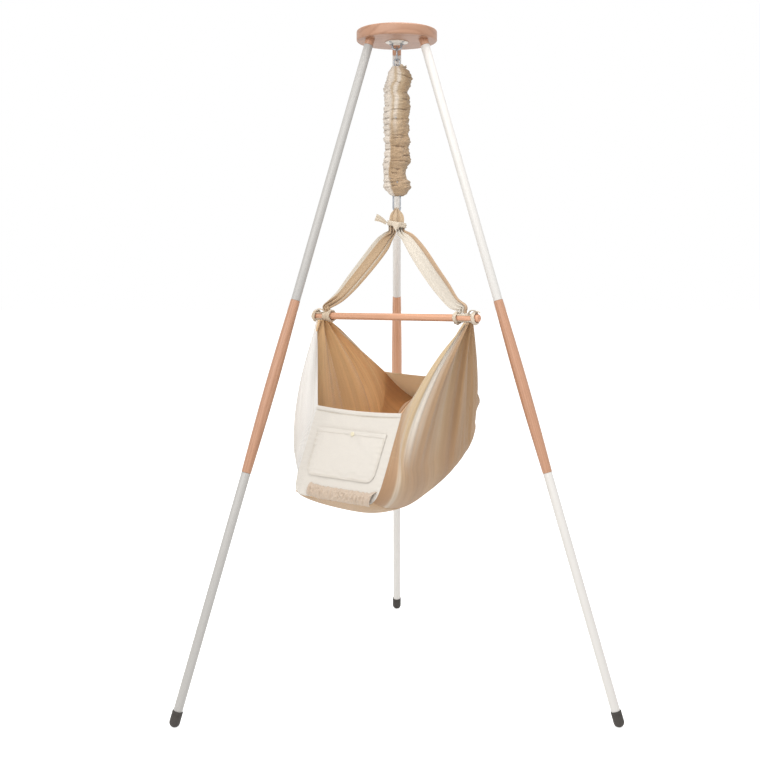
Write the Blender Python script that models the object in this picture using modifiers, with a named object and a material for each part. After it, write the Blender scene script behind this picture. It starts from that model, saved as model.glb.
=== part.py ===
"""Baby hammock hung from a wooden and metal tripod stand.

Metres, +Z up. The origin is on the floor, below the middle of the stand's bounding box.
The front of the stand faces -Y. One leg points back along +Y and two point forwards.
The cradle hangs turned about the vertical, with its foot end towards the front left.
"""
import math

import bmesh
import bpy
from mathutils import Matrix, Vector

GAP = 0.0003

# Stand
STAND_HEIGHT = 1.880
DISC_RADIUS = 0.113
DISC_THICKNESS = 0.030
DISC_EDGE_ROUND = 0.005
HUB_RADIUS = 0.0845
FOOT_RADIUS = 0.688
TUBE_RADIUS = 0.0125
TUBE_WALL = 0.0012
PEG_SEAT_DEPTH = 0.020
PEG_EXPOSED = 0.019
UPPER_TUBE_LENGTH = 0.739
POLE_LENGTH = 0.486
POLE_END_RADIUS = 0.0130
POLE_MID_RADIUS = 0.0162
PLUG_LENGTH = 0.018
STUD_RADIUS = 0.004
STUD_LENGTH = 0.050
FOOT_DOME_RADIUS = 0.0145
FOOT_FLAT_DEPTH = 0.001
FOOT_SOCKET_DEPTH = 0.024
FOOT_SOLE = 0.006
FOOT_LIP = 0.0008
LEG_SIDES = 16
LEG_AZIMUTHS = {"left": 210.0, "right": 330.0, "rear": 90.0}

# Hanger under the disc
PLATE_RADIUS = 0.032
PLATE_THICKNESS = 0.0025
SCREW_CIRCLE_RADIUS = 0.025
SCREW_SHANK_RADIUS = 0.002
SCREW_HEAD_RADIUS = 0.004
SCREW_HEAD_HEIGHT = 0.0016
SCREW_LENGTH = 0.018
BOW_WIRE_RADIUS = 0.00275
BOW_HALF_WIDTH = 0.0125
BOW_DROP = 0.0185

# Upper snap hook, ring, spring and its sleeve
HOOK_WIRE_RADIUS = 0.0024
HOOK_HALF_WIDTH = 0.0100
HOOK_NOSE = 0.0010
UPPER_HOOK_LENGTH = 0.036
GATE_RADIUS = 0.0017
GATE_PIN_RADIUS = 0.0009
GATE_PIN_INSET = 0.0022
GATE_FOOT_TAPER = 0.0008
GATE_SIDES = 12
GATE_PIN_REACH = 0.0030
RING_WIRE_RADIUS = 0.0020
RING_HALF_WIDTH = 0.0085
RING_LENGTH = 0.0190
SPRING_WIRE_RADIUS = 0.0018
SPRING_RADIUS = 0.0150
SPRING_TURNS = 16
SPRING_TURN_POINTS = 8
SPRING_END_RADIUS = 0.0085
SPRING_LEAD = 0.012
SLEEVE_TOP_DROP = 0.0035
SLEEVE_LENGTH = 0.358
SLEEVE_STATIONS = [(0.00, 0.004, 0.0165), (0.05, 0.005, 0.0290), (0.10, 0.004, 0.0330), (0.18, 0.000, 0.0310),
                   (0.30, 0.000, 0.0310), (0.45, -0.003, 0.0310), (0.60, -0.003, 0.0315),
                   (0.76, -0.001, 0.0350), (0.84, -0.005, 0.0290), (0.90, 0.000, 0.0325),
                   (0.96, 0.001, 0.0270), (1.00, 0.000, 0.0165)]
SLEEVE_NECK_WALL = 0.0030
SLEEVE_NECK_DEPTH = 0.007
SLEEVE_PUCKERS = 11
SLEEVE_PUCKER_DEPTH = 0.0030

# Lower snap hook
LOWER_HOOK_LENGTH = 0.050
LOWER_HOOK_TUCK = 0.007

# Cloth neck and slings
LOOP_TOP_THICKNESS = 0.0048
LOOP_TOP_HALF_WIDTH = 0.0062
LOOP_HALF_WIDTH = 0.0210
LOOP_FOOT_HALF_WIDTH = 0.0190
LOOP_HALF_THICKNESS = 0.0063
LOOP_LEG_GAP = 0.0037
LOOP_LENGTH = 0.046
LOOP_FOLD_DEPTH = 0.0010
TIE_HALF_HEIGHT = 0.0065
TIE_THICKNESS = 0.0016
TIE_EASE = 0.0018
TIE_RISE = 0.0010
TIE_SLANT = 0.0045
TIE_TAIL_REACH = 0.030
TIE_TAIL_RISE = 0.017
TIE_TAIL_HALF_WIDTH = 0.0105
SLING_ROUTES = {
    "left": ((-0.0185, 1.3185, 0.0120), (-0.0350, 1.3030, 0.0175), (-0.0580, 1.2800, 0.0240),
             (-0.1115, 1.2265, 0.0275), (-0.1635, 1.1760, 0.0250), (-0.2090, 1.1350, 0.0190)),
    "right": ((0.0190, 1.3185, 0.0125), (0.0430, 1.3005, 0.0195), (0.0820, 1.2565, 0.0260),
              (0.1240, 1.2060, 0.0290), (0.1660, 1.1595, 0.0270), (0.2020, 1.1225, 0.0205)),
}
SLING_HALF_THICKNESS = 0.0080
SLING_NECK_CENTRE = 0.0120
SLING_NECK_HALF_WIDTH = 0.0112
SLING_NECK_RUN = 0.0140
SLING_END_RUN = 0.0170
SLING_NECK_THICKNESS = 0.0110
SLING_END_HALF_WIDTH = 0.0120
SLING_END_THICKNESS = 0.0130
SLING_SIDES = 16
SLING_FOLDS = 5
SLING_FOLD_DEPTH = 0.0016

# Cradle, measured from its own axis: across to the right, along to the head end, height
CRADLE_TURN = 37.0
BAR_SHIFT = -0.015
BAR_TILT = 0.7
BAR_HEIGHT = 1.0780
BAR_RADIUS = 0.0103
BAR_LENGTH = 0.600
BAR_TIE_REACH = 0.257
SLING_END_REACH = 0.246
GATHER_REACH = 0.264
BAR_WRAP_HALF_LENGTH = 0.0325
BAR_WRAP_TURN_WIDTH = 0.0065
BAR_WRAP_THICKNESS = 0.0045
GATHER_HALF_LENGTH = 0.022
KEEL_LOW_HEIGHT = 0.535
KEEL_LOW_ALONG = -0.120
FOOT_KEEL_ALONG = -0.290
FOOT_KEEL_HEIGHT = 0.590
HEAD_KEEL_ALONG = 0.285
HEAD_KEEL_HEIGHT = 0.785
FOOT_RIM_ALONG = -0.176
FOOT_RIM_HEIGHT = 0.827
HEAD_RIM_ALONG = 0.138
HEAD_RIM_HEIGHT = 0.901
RIM_END_HALF_WIDTH = 0.150
RIM_FOOT_HALF_WIDTH = 0.215
RIM_HEAD_HALF_WIDTH = 0.172
FOOT_RIM_DROP = 0.180
HEAD_RIM_DROP = 0.150
FOOT_CORNER_BULGE = 0.285
HEAD_CORNER_BULGE = 0.150
RIM_DROP_POWER = 4.0
OVAL_POWER = 2.1
FOOT_END_POWER = 10.0
HEAD_END_POWER = 3.0
FOOT_RISE_POWER = 2.2
HEAD_RISE_POWER = 1.85
FAN_SPREAD = 0.014
FAN_RISE = 0.140
CLOTH_THICKNESS = 0.0020
SEAM_GAP = 0.0003
SEAM_FOOT_EASE = 0.0016
FOOT_PANEL_INSET = 0.0015
HEAD_PANEL_INSET = 0.0022
BASE_SEAM_ANGLE = 0.62
STATIONS = 21
SIDE_ROWS = 12
BASE_ROWS = 9
FAN_FOLDS = 4
FAN_FOLD_DEPTH = 0.0060
HEM_SAG = 0.006
HEAD_HEM_SAG = 0.010
HEM_ROLL_RADIUS = 0.0075
HEM_ROLL_HALF_LENGTH = 0.108
HEM_ROLL_RISE = 0.004
HEM_RUFFLES = 7
POCKET_TOP_HALF_WIDTH = 0.122
POCKET_BOTTOM_HALF_WIDTH = 0.119
POCKET_TOP_DROP = 0.064
POCKET_HEIGHT = 0.139
POCKET_DEPTH = 0.0032
POCKET_CORNER = 0.026
POCKET_THICKNESS = 0.0016
SNAP_RADIUS = 0.0065
SNAP_CAP_HEIGHT = 0.0020
SNAP_POST_RADIUS = 0.0020
SNAP_STUD_BASE = 0.0008
SNAP_SOCKET_HEIGHT = 0.0014
SNAP_DROP = 0.0100
SNAP_SHIFT = 0.0090
MATTRESS_THICKNESS = 0.052
MATTRESS_SIDE_FALL = 0.12
MATTRESS_END_FALL = 0.20
MATTRESS_SEAT = 0.0024
MATTRESS_HALF_WIDTH = 0.145
MATTRESS_END_NARROWING = 0.10
MATTRESS_CENTRE_STATION = 0.090
MATTRESS_HALF_SPAN = 0.870

# Values worked out from those above
DISC_UNDERSIDE = STAND_HEIGHT - DISC_THICKNESS
LEG_TILT = math.atan2(FOOT_RADIUS - HUB_RADIUS, DISC_UNDERSIDE)
FOOT_DOME_HEIGHT = FOOT_DOME_RADIUS - FOOT_FLAT_DEPTH
FOOT_DOME_REACH = FOOT_RADIUS - FOOT_DOME_HEIGHT * math.tan(LEG_TILT)
AXIS_Y = -FOOT_DOME_REACH / 4.0
LEG_LENGTH = (DISC_UNDERSIDE - FOOT_DOME_HEIGHT) / math.cos(LEG_TILT)
POLE_START = PEG_EXPOSED + UPPER_TUBE_LENGTH
POLE_END = POLE_START + POLE_LENGTH
TUBE_BORE = TUBE_RADIUS - TUBE_WALL
BOW_BOTTOM = DISC_UNDERSIDE - PLATE_THICKNESS - BOW_DROP
UPPER_HOOK_TOP = BOW_BOTTOM + BOW_WIRE_RADIUS + HOOK_WIRE_RADIUS + GAP
UPPER_HOOK_BOTTOM = UPPER_HOOK_TOP - UPPER_HOOK_LENGTH
RING_TOP = UPPER_HOOK_BOTTOM + HOOK_WIRE_RADIUS + RING_WIRE_RADIUS + GAP
RING_BOTTOM = RING_TOP - RING_LENGTH
SPRING_TOP = RING_BOTTOM + RING_WIRE_RADIUS + SPRING_WIRE_RADIUS + GAP
SLEEVE_TOP = RING_BOTTOM - SLEEVE_TOP_DROP
SLEEVE_BOTTOM = SLEEVE_TOP - SLEEVE_LENGTH
LOWER_HOOK_TOP = SLEEVE_BOTTOM + LOWER_HOOK_TUCK
LOWER_HOOK_BOTTOM = LOWER_HOOK_TOP - LOWER_HOOK_LENGTH
SPRING_BOTTOM = LOWER_HOOK_TOP - HOOK_WIRE_RADIUS - SPRING_WIRE_RADIUS - GAP
LOOP_TOP = LOWER_HOOK_BOTTOM + HOOK_WIRE_RADIUS + LOOP_TOP_THICKNESS + GAP
NECK_HEIGHT = LOOP_TOP - LOOP_LENGTH
WRAP_RADIUS = BAR_RADIUS + GAP + CLOTH_THICKNESS


def clear_scene():
    """Remove every object that the scene holds."""
    for thing in list(bpy.data.objects):
        bpy.data.objects.remove(thing, do_unlink=True)


def new_collection(name):
    """Make a collection under the scene's own."""
    collection = bpy.data.collections.new(name)
    bpy.context.scene.collection.children.link(collection)
    return collection


def make_material(name, colour, roughness, metallic=0.0):
    """Make a plain surface finish."""
    material = bpy.data.materials.new(name)
    material.use_nodes = True
    shader = material.node_tree.nodes["Principled BSDF"]
    shader.inputs["Base Color"].default_value = (*colour, 1.0)
    shader.inputs["Roughness"].default_value = roughness
    shader.inputs["Metallic"].default_value = metallic
    return material


FINISHES = {
    "beech": ((0.72, 0.40, 0.24), 0.5, 0.0),
    "white_tube": ((0.86, 0.83, 0.78), 0.35, 0.1),
    "rubber": ((0.03, 0.025, 0.022), 0.7, 0.0),
    "plate_steel": ((0.78, 0.74, 0.68), 0.4, 0.6),
    "dark_steel": ((0.35, 0.36, 0.38), 0.3, 0.9),
    "zinc": ((0.55, 0.55, 0.56), 0.4, 0.9),
    "cotton": ((0.70, 0.55, 0.38), 0.9, 0.0),
    "canvas": ((0.84, 0.79, 0.70), 0.9, 0.0),
    "mattress_cover": ((0.66, 0.42, 0.24), 0.9, 0.0),
    "snap_plastic": ((0.88, 0.84, 0.68), 0.35, 0.0),
}


def finish_object(thing, finish, parent=None):
    """Put a finished object in the hammock's collection with its material."""
    thing.data.materials.append(MATERIALS[finish])
    PARTS.objects.link(thing)
    if parent is not None:
        thing.parent = parent
    return thing


def mesh_object(name, bm, finish, parent=None, smooth=True):
    """Turn a bmesh into a named object."""
    mesh = bpy.data.meshes.new(name)
    bm.to_mesh(mesh)
    bm.free()
    if smooth:
        mesh.shade_smooth()
        mesh.set_sharp_from_angle(angle=math.radians(35.0))
    return finish_object(bpy.data.objects.new(name, mesh), finish, parent)


def empty(name, matrix, parent=None):
    """Make an axis marker that other objects hang on."""
    marker = bpy.data.objects.new(name, None)
    PARTS.objects.link(marker)
    marker.parent = parent
    marker.matrix_world = matrix
    return marker


def turned(name, profile, finish, parent=None, sides=LEG_SIDES):
    """Turn a profile of (radius, height) points, listed down its outer side, about the local Z axis."""
    bm = bmesh.new()
    points = [bm.verts.new((radius, 0.0, height)) for radius, height in profile]
    for upper, lower in zip(points, points[1:]):
        bm.edges.new((upper, lower))
    if profile[0] == profile[-1]:
        bmesh.ops.remove_doubles(bm, verts=bm.verts, dist=1e-6)
    thing = mesh_object(name, bm, finish, parent, smooth=False)
    screw = thing.modifiers.new("Turn", "SCREW")
    screw.axis = "Z"
    screw.steps = sides
    screw.render_steps = sides
    screw.use_merge_vertices = True
    screw.merge_threshold = 0.00001
    screw.use_smooth_shade = True
    return thing


def cylinder(bm, radius, low, high, sides, centre=(0.0, 0.0)):
    """Add a closed upright cylinder to a bmesh."""
    place = Matrix.Translation((centre[0], centre[1], (low + high) / 2))
    bmesh.ops.create_cone(bm, cap_ends=True, segments=sides, radius1=radius, radius2=radius,
                          depth=high - low, matrix=place)


def arc(centre, radius, start, end, steps):
    """Points on a circle's arc, as pairs, from one angle to another in radians."""
    angles = [start + (end - start) * step / steps for step in range(steps + 1)]
    return [(centre[0] + radius * math.cos(a), centre[1] + radius * math.sin(a)) for a in angles]


def wire(name, points, radius, finish, parent=None, closed=False, resolution=2):
    """Make a round wire along a list of points."""
    curve = bpy.data.curves.new(name, "CURVE")
    curve.dimensions = "3D"
    curve.bevel_depth = radius
    curve.bevel_resolution = resolution
    curve.use_fill_caps = True
    spline = curve.splines.new("POLY")
    spline.points.add(len(points) - 1)
    for target, point in zip(spline.points, points):
        target.co = (*point, 1.0)
    spline.use_cyclic_u = closed
    spline.use_smooth = True
    return finish_object(bpy.data.objects.new(name, curve), finish, parent)


def smooth_route(points, steps):
    """Points on a smooth curve through the given ones."""
    ends = [points[0] * 2 - points[1]] + list(points) + [points[-1] * 2 - points[-2]]
    route = []
    for index in range(1, len(ends) - 2):
        before, start, end, after = ends[index - 1:index + 3]
        for step in range(steps):
            t = step / steps
            route.append(0.5 * (2 * start + (end - before) * t
                                + (2 * before - 5 * start + 4 * end - after) * t ** 2
                                + (3 * start - before - 3 * end + after) * t ** 3))
    route.append(points[-1])
    return route


def loft(bm, rings):
    """Join rings of points, each with as many points, into one closed body."""
    rows = [[bm.verts.new(point) for point in ring] for ring in rings]
    count = len(rows[0])
    for lower, upper in zip(rows, rows[1:]):
        for index in range(count):
            after = (index + 1) % count
            bm.faces.new((lower[index], lower[after], upper[after], upper[index]))
    bm.faces.new(list(reversed(rows[0])))
    bm.faces.new(rows[-1])


def sheet(name, rows, thickness, finish, parent=None):
    """Make cloth from rows of points on its middle surface, thickened both ways."""
    bm = bmesh.new()
    grid = [[bm.verts.new(point) for point in row] for row in rows]
    for lower, upper in zip(grid, grid[1:]):
        for index in range(len(lower) - 1):
            bm.faces.new((lower[index], lower[index + 1], upper[index + 1], upper[index]))
    thing = mesh_object(name, bm, finish, parent)
    shell = thing.modifiers.new("Thickness", "SOLIDIFY")
    shell.thickness = thickness
    shell.offset = 0.0
    shell.use_even_offset = False
    return thing


def cutter(name, bm, parent=None):
    """Make a hidden body that cuts another."""
    bmesh.ops.recalc_face_normals(bm, faces=bm.faces)
    mesh = bpy.data.meshes.new(name)
    bm.to_mesh(mesh)
    bm.free()
    thing = bpy.data.objects.new(name, mesh)
    CUTTERS.objects.link(thing)
    thing.hide_render = True
    thing.display_type = "WIRE"
    if parent is not None:
        thing.parent = parent
    return thing


def cut(thing, tool):
    """Cut one body with another."""
    boolean = thing.modifiers.new(tool.name, "BOOLEAN")
    boolean.operation = "DIFFERENCE"
    boolean.object = tool
    boolean.solver = "EXACT"


def leg_frames():
    """Axis markers for the legs: origin where the axis meets the disc's underside, +Z up the leg."""
    frames = {}
    for name, azimuth in LEG_AZIMUTHS.items():
        around = Matrix.Rotation(math.radians(azimuth), 4, "Z")
        hub = Matrix.Translation((0.0, AXIS_Y, DISC_UNDERSIDE))
        lean = Matrix.Translation((HUB_RADIUS, 0.0, 0.0)) @ Matrix.Rotation(-LEG_TILT, 4, "Y")
        frames[name] = empty("leg_axis_" + name, hub @ around @ lean)
    return frames


def make_disc(frames, hanger):
    """The wooden top, with slanted seats for the pegs and pilot holes for the plate's screws."""
    top = DISC_THICKNESS
    rim = DISC_RADIUS - DISC_EDGE_ROUND
    upper = arc((rim, top - DISC_EDGE_ROUND), DISC_EDGE_ROUND, math.pi / 2, 0.0, 3)
    lower = arc((rim, DISC_EDGE_ROUND), DISC_EDGE_ROUND, 0.0, -math.pi / 2, 3)
    disc = turned("head_disc", [(0.0, top)] + upper + lower + [(0.0, 0.0)], "beech", hanger, sides=40)
    for name, frame in frames.items():
        bm = bmesh.new()
        cylinder(bm, TUBE_RADIUS + GAP, -PEG_EXPOSED, PEG_SEAT_DEPTH + GAP, LEG_SIDES)
        cut(disc, cutter("peg_seat_" + name, bm, frame))
    bm = bmesh.new()
    for x, y in screw_places():
        cylinder(bm, SCREW_SHANK_RADIUS + GAP, -SCREW_HEAD_RADIUS, SCREW_LENGTH + GAP, 12, (x, y))
    cut(disc, cutter("screw_pilots", bm, hanger))


def screw_places():
    """Centres of the plate's four screws, at 45 degrees."""
    angles = [math.radians(45.0 + 90.0 * index) for index in range(4)]
    return [(SCREW_CIRCLE_RADIUS * math.cos(a), SCREW_CIRCLE_RADIUS * math.sin(a)) for a in angles]


def make_leg(name, frame):
    """One leg: peg, upper tube, pole, lower tube and rubber foot, and the studs that join them.

    A tube's threaded end plugs are welded in, so they are part of it.
    """
    bore = STUD_RADIUS + GAP
    half_stud = STUD_LENGTH / 2
    turned("leg_peg_" + name,
           [(0.0, PEG_SEAT_DEPTH), (TUBE_RADIUS, PEG_SEAT_DEPTH), (TUBE_RADIUS, -PEG_EXPOSED),
            (bore, -PEG_EXPOSED), (bore, half_stud - PEG_EXPOSED + GAP),
            (0.0, half_stud - PEG_EXPOSED + GAP)], "beech", frame)
    start = -PEG_EXPOSED - GAP
    end = -POLE_START + GAP
    turned("upper_tube_" + name,
           [(bore, start), (TUBE_RADIUS, start), (TUBE_RADIUS, end), (bore, end), (bore, end + PLUG_LENGTH),
            (TUBE_BORE, end + PLUG_LENGTH), (TUBE_BORE, start - PLUG_LENGTH), (bore, start - PLUG_LENGTH),
            (bore, start)], "white_tube", frame)
    start = -POLE_END - GAP
    end = -LEG_LENGTH + FOOT_SOLE + GAP
    turned("lower_tube_" + name,
           [(bore, start), (TUBE_RADIUS, start), (TUBE_RADIUS, end), (TUBE_BORE, end),
            (TUBE_BORE, start - PLUG_LENGTH), (bore, start - PLUG_LENGTH), (bore, start)], "white_tube", frame)
    make_pole(name, frame, bore, half_stud)
    make_foot(name, frame)
    for prefix, joint in (("peg_stud_", PEG_EXPOSED), ("upper_stud_", POLE_START), ("lower_stud_", POLE_END)):
        stud = bmesh.new()
        cylinder(stud, STUD_RADIUS, -joint - half_stud, -joint + half_stud, 12)
        mesh_object(prefix + name, stud, "zinc", frame)


def make_pole(name, frame, bore, half_stud):
    """The barrel-shaped wooden pole, with a blind bore for a stud in each end."""
    start = POLE_START
    end = POLE_END
    swell = POLE_MID_RADIUS - POLE_END_RADIUS
    steps = 6
    outer = []
    for step in range(steps + 1):
        along = step / steps
        outer.append((POLE_END_RADIUS + swell * math.sin(math.pi * along), -start - POLE_LENGTH * along))
    profile = [(0.0, -start - half_stud - GAP), (bore, -start - half_stud - GAP), (bore, -start)] + outer
    profile += [(bore, -end), (bore, -end + half_stud + GAP), (0.0, -end + half_stud + GAP)]
    turned("middle_pole_" + name, profile, "beech", frame)


def make_foot(name, frame):
    """The rubber foot: a cup on the tube's end with a dome below, cut flat where it stands."""
    centre = -LEG_LENGTH
    socket = centre + FOOT_SOLE
    mouth = socket + FOOT_SOCKET_DEPTH
    inner = TUBE_RADIUS + GAP
    dome = arc((0.0, centre), FOOT_DOME_RADIUS, 0.0, -math.pi / 2, 5)
    profile = [(0.0, socket), (inner, socket), (inner, mouth),
               (FOOT_DOME_RADIUS - FOOT_LIP, mouth), (FOOT_DOME_RADIUS, mouth - FOOT_LIP * 2)] + dome
    foot = turned("foot_cap_" + name, profile, "rubber", frame)
    bm = bmesh.new()
    bmesh.ops.create_cube(bm, size=1.0, matrix=Matrix.Diagonal((0.1, 0.1, 0.1, 1.0)))
    floor = cutter("floor_" + name, bm)
    radians = math.radians(LEG_AZIMUTHS[name])
    floor.location = (FOOT_DOME_REACH * math.cos(radians), AXIS_Y + FOOT_DOME_REACH * math.sin(radians), -0.05)
    cut(foot, floor)


def make_hanger(hanger):
    """The eye plate, its screws and the bow under it."""
    plate = bmesh.new()
    cylinder(plate, PLATE_RADIUS, -PLATE_THICKNESS - GAP, -GAP, 32)
    holes = bmesh.new()
    for place in screw_places():
        cylinder(holes, SCREW_SHANK_RADIUS + GAP, -PLATE_THICKNESS * 2, PLATE_THICKNESS, 12, place)
    cut(mesh_object("hanger_plate", plate, "plate_steel", hanger), cutter("plate_holes", holes, hanger))
    for index, place in enumerate(screw_places()):
        screw = bmesh.new()
        add_screw(screw, place, -PLATE_THICKNESS - GAP * 2)
        mesh_object("plate_screw_" + str(index + 1), screw, "dark_steel", hanger)
    drop = DISC_UNDERSIDE - BOW_BOTTOM
    turn = BOW_HALF_WIDTH
    bend = arc((0.0, -drop + turn * 0.62), turn, math.pi, math.tau, 12)
    points = [(x, 0.0, -drop + (z + drop) * (0.62 if z < -drop + turn * 0.62 else 1.0)) for x, z in bend]
    low = min(point[2] for point in points)
    points = [(x, y, z - drop - low) for x, y, z in points]
    top = -PLATE_THICKNESS - GAP * 2
    points = [(-BOW_HALF_WIDTH, 0.0, top)] + points + [(BOW_HALF_WIDTH, 0.0, top)]
    wire("hanger_bow", points, BOW_WIRE_RADIUS, "dark_steel", hanger)


def add_screw(bm, place, head_top):
    """Add one pan-headed screw, head down, its shank up through the plate into the disc."""
    profile = [(SCREW_HEAD_RADIUS * 0.7, head_top - SCREW_HEAD_HEIGHT), (SCREW_HEAD_RADIUS, head_top - 0.0008),
               (SCREW_HEAD_RADIUS, head_top), (SCREW_SHANK_RADIUS, head_top),
               (SCREW_SHANK_RADIUS, SCREW_LENGTH)]
    rings = []
    for radius, height in profile:
        angles = [math.tau * side / 12 for side in range(12)]
        rings.append([(place[0] + radius * math.cos(a), place[1] + radius * math.sin(a), height)
                      for a in angles])
    loft(bm, rings)


def oval(half_width, half_length, steps=10):
    """A stadium of points (across, up) about its centre, anticlockwise from the right side's foot."""
    straight = half_length - half_width
    upper = arc((0.0, straight), half_width, 0.0, math.pi, steps)
    lower = arc((0.0, -straight), half_width, math.pi, math.tau, steps)
    return upper + lower


def make_hook(prefix, finish, marker, length, across):
    """A snap hook's wire, open on one side between the two heights that it returns.

    The marker is at the middle of the top wire. across turns a pair (across, up) into a point.
    """
    half_length = length / 2
    outline = oval(HOOK_HALF_WIDTH, half_length)
    corner = half_length - HOOK_HALF_WIDTH
    body = [(HOOK_HALF_WIDTH, corner - HOOK_NOSE)] + outline + [(HOOK_HALF_WIDTH, -corner + HOOK_NOSE)]
    points = [across(x, z - half_length) for x, z in body]
    wire(prefix + "_hook_body", points, HOOK_WIRE_RADIUS, finish, marker)
    return corner - HOOK_NOSE - half_length, -corner + HOOK_NOSE - half_length


def make_gate(prefix, marker, pin_marker, reach, along):
    """The gate that closes a snap hook, on a rivet at its lower end.

    The pin marker is at the rivet. reach is the gate's length above it, and along is the rivet's axis.
    """
    gate = bmesh.new()
    profile = [(GATE_RADIUS - GATE_FOOT_TAPER, -GATE_PIN_INSET),
               (GATE_RADIUS, GATE_FOOT_TAPER - GATE_PIN_INSET), (GATE_RADIUS, reach)]
    angles = [math.tau * side / GATE_SIDES for side in range(GATE_SIDES)]
    loft(gate, [[(radius * math.cos(a), radius * math.sin(a), height) for a in angles]
                for radius, height in profile])
    hole = bmesh.new()
    cylinder(hole, GATE_PIN_RADIUS + GAP, -GATE_RADIUS * 2, GATE_RADIUS * 2, GATE_SIDES)
    tool = cutter(prefix + "_gate_bore", hole, pin_marker)
    tool.rotation_euler = along
    cut(mesh_object(prefix + "_hook_gate", gate, "dark_steel", pin_marker), tool)
    rivet = bmesh.new()
    cylinder(rivet, GATE_PIN_RADIUS, -GATE_PIN_REACH, GATE_PIN_REACH, GATE_SIDES)
    pin = mesh_object(prefix + "_gate_pin", rivet, "zinc", marker)
    pin.location = pin_marker.matrix_world.translation - marker.matrix_world.translation
    pin.rotation_euler = along


def make_upper_hook(marker):
    """The small snap hook that hangs edge-on from the bow, its gate towards the front."""
    nose, heel = make_hook("upper", "dark_steel", marker["upper_hook"], UPPER_HOOK_LENGTH,
                           lambda x, z: (0.0, -x, z))
    foot = heel + GAP + GATE_PIN_INSET
    place = Matrix.Translation((0.0, AXIS_Y - HOOK_HALF_WIDTH, UPPER_HOOK_TOP + foot))
    gate_axis = empty("upper_gate_axis", place)
    make_gate("upper", marker["upper_hook"], gate_axis, nose - foot - GAP,
              (0.0, math.pi / 2, 0.0))


def make_lower_hook(marker):
    """The snap hook under the spring, seen face-on, its gate towards the right."""
    nose, heel = make_hook("lower", "dark_steel", marker["lower_hook"], LOWER_HOOK_LENGTH,
                           lambda x, z: (x, 0.0, z))
    foot = heel + GAP + GATE_PIN_INSET
    place = Matrix.Translation((HOOK_HALF_WIDTH, AXIS_Y, LOWER_HOOK_TOP + foot))
    gate_axis = empty("lower_gate_axis", place)
    make_gate("lower", marker["lower_hook"], gate_axis, nose - foot - GAP,
              (math.pi / 2, 0.0, 0.0))


def make_spring(marker):
    """The ring on the upper hook and the spring that hangs from it, one unbroken wire."""
    ring = [(x, 0.0, z - RING_LENGTH / 2) for x, z in oval(RING_HALF_WIDTH, RING_LENGTH / 2)]
    top = RING_TOP - UPPER_HOOK_BOTTOM
    wire("spring_ring", [(x, y, z + top) for x, y, z in ring], RING_WIRE_RADIUS, "dark_steel",
         marker["spring"], closed=True)
    route = spring_route()
    least = least_gap(route, SPRING_WIRE_RADIUS)
    print("suspension_spring least gap to itself, mm:", round(least * 1000, 2))
    points = [(x, y, z - UPPER_HOOK_BOTTOM) for x, y, z in route]
    wire("suspension_spring", points, SPRING_WIRE_RADIUS, "zinc", marker["spring"], resolution=1)


def spring_route():
    """The spring's centre line in height above the floor: an end loop, the coil, an end loop."""
    loop = SPRING_END_RADIUS
    neck = loop * 2 + SPRING_LEAD
    coil_top = SPRING_TOP - neck
    coil_bottom = SPRING_BOTTOM + neck
    upper = [(0.0, y, z) for y, z in arc((0.0, SPRING_TOP - loop), loop, -math.pi / 5, math.pi, 8)]
    lower = [(0.0, y, z) for y, z in arc((0.0, SPRING_BOTTOM + loop), loop, math.pi, math.tau * 1.1, 8)]
    coil = []
    count = SPRING_TURNS * SPRING_TURN_POINTS
    for index in range(count + 1):
        angle = math.pi * 1.5 - math.tau * index / SPRING_TURN_POINTS
        height = coil_top + (coil_bottom - coil_top) * index / count
        coil.append((SPRING_RADIUS * math.cos(angle), SPRING_RADIUS * math.sin(angle), height))
    return upper + coil + lower


def least_gap(route, radius):
    """The least distance between the surfaces of a wire's stretches that aren't neighbours."""
    apart = 5
    least = 1.0
    points = [Vector(point) for point in route]
    for index, point in enumerate(points):
        for other in points[index + apart:]:
            least = min(least, (point - other).length - 2 * radius)
    return least


def sleeve_station(share):
    """The sleeve's sway to the right and its radius at a share of the way down it."""
    for start, end in zip(SLEEVE_STATIONS, SLEEVE_STATIONS[1:]):
        if share <= end[0]:
            blend = (share - start[0]) / (end[0] - start[0])
            blend = blend * blend * (3 - 2 * blend)
            return start[1] + (end[1] - start[1]) * blend, start[2] + (end[2] - start[2]) * blend
    return SLEEVE_STATIONS[-1][1:]


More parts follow.
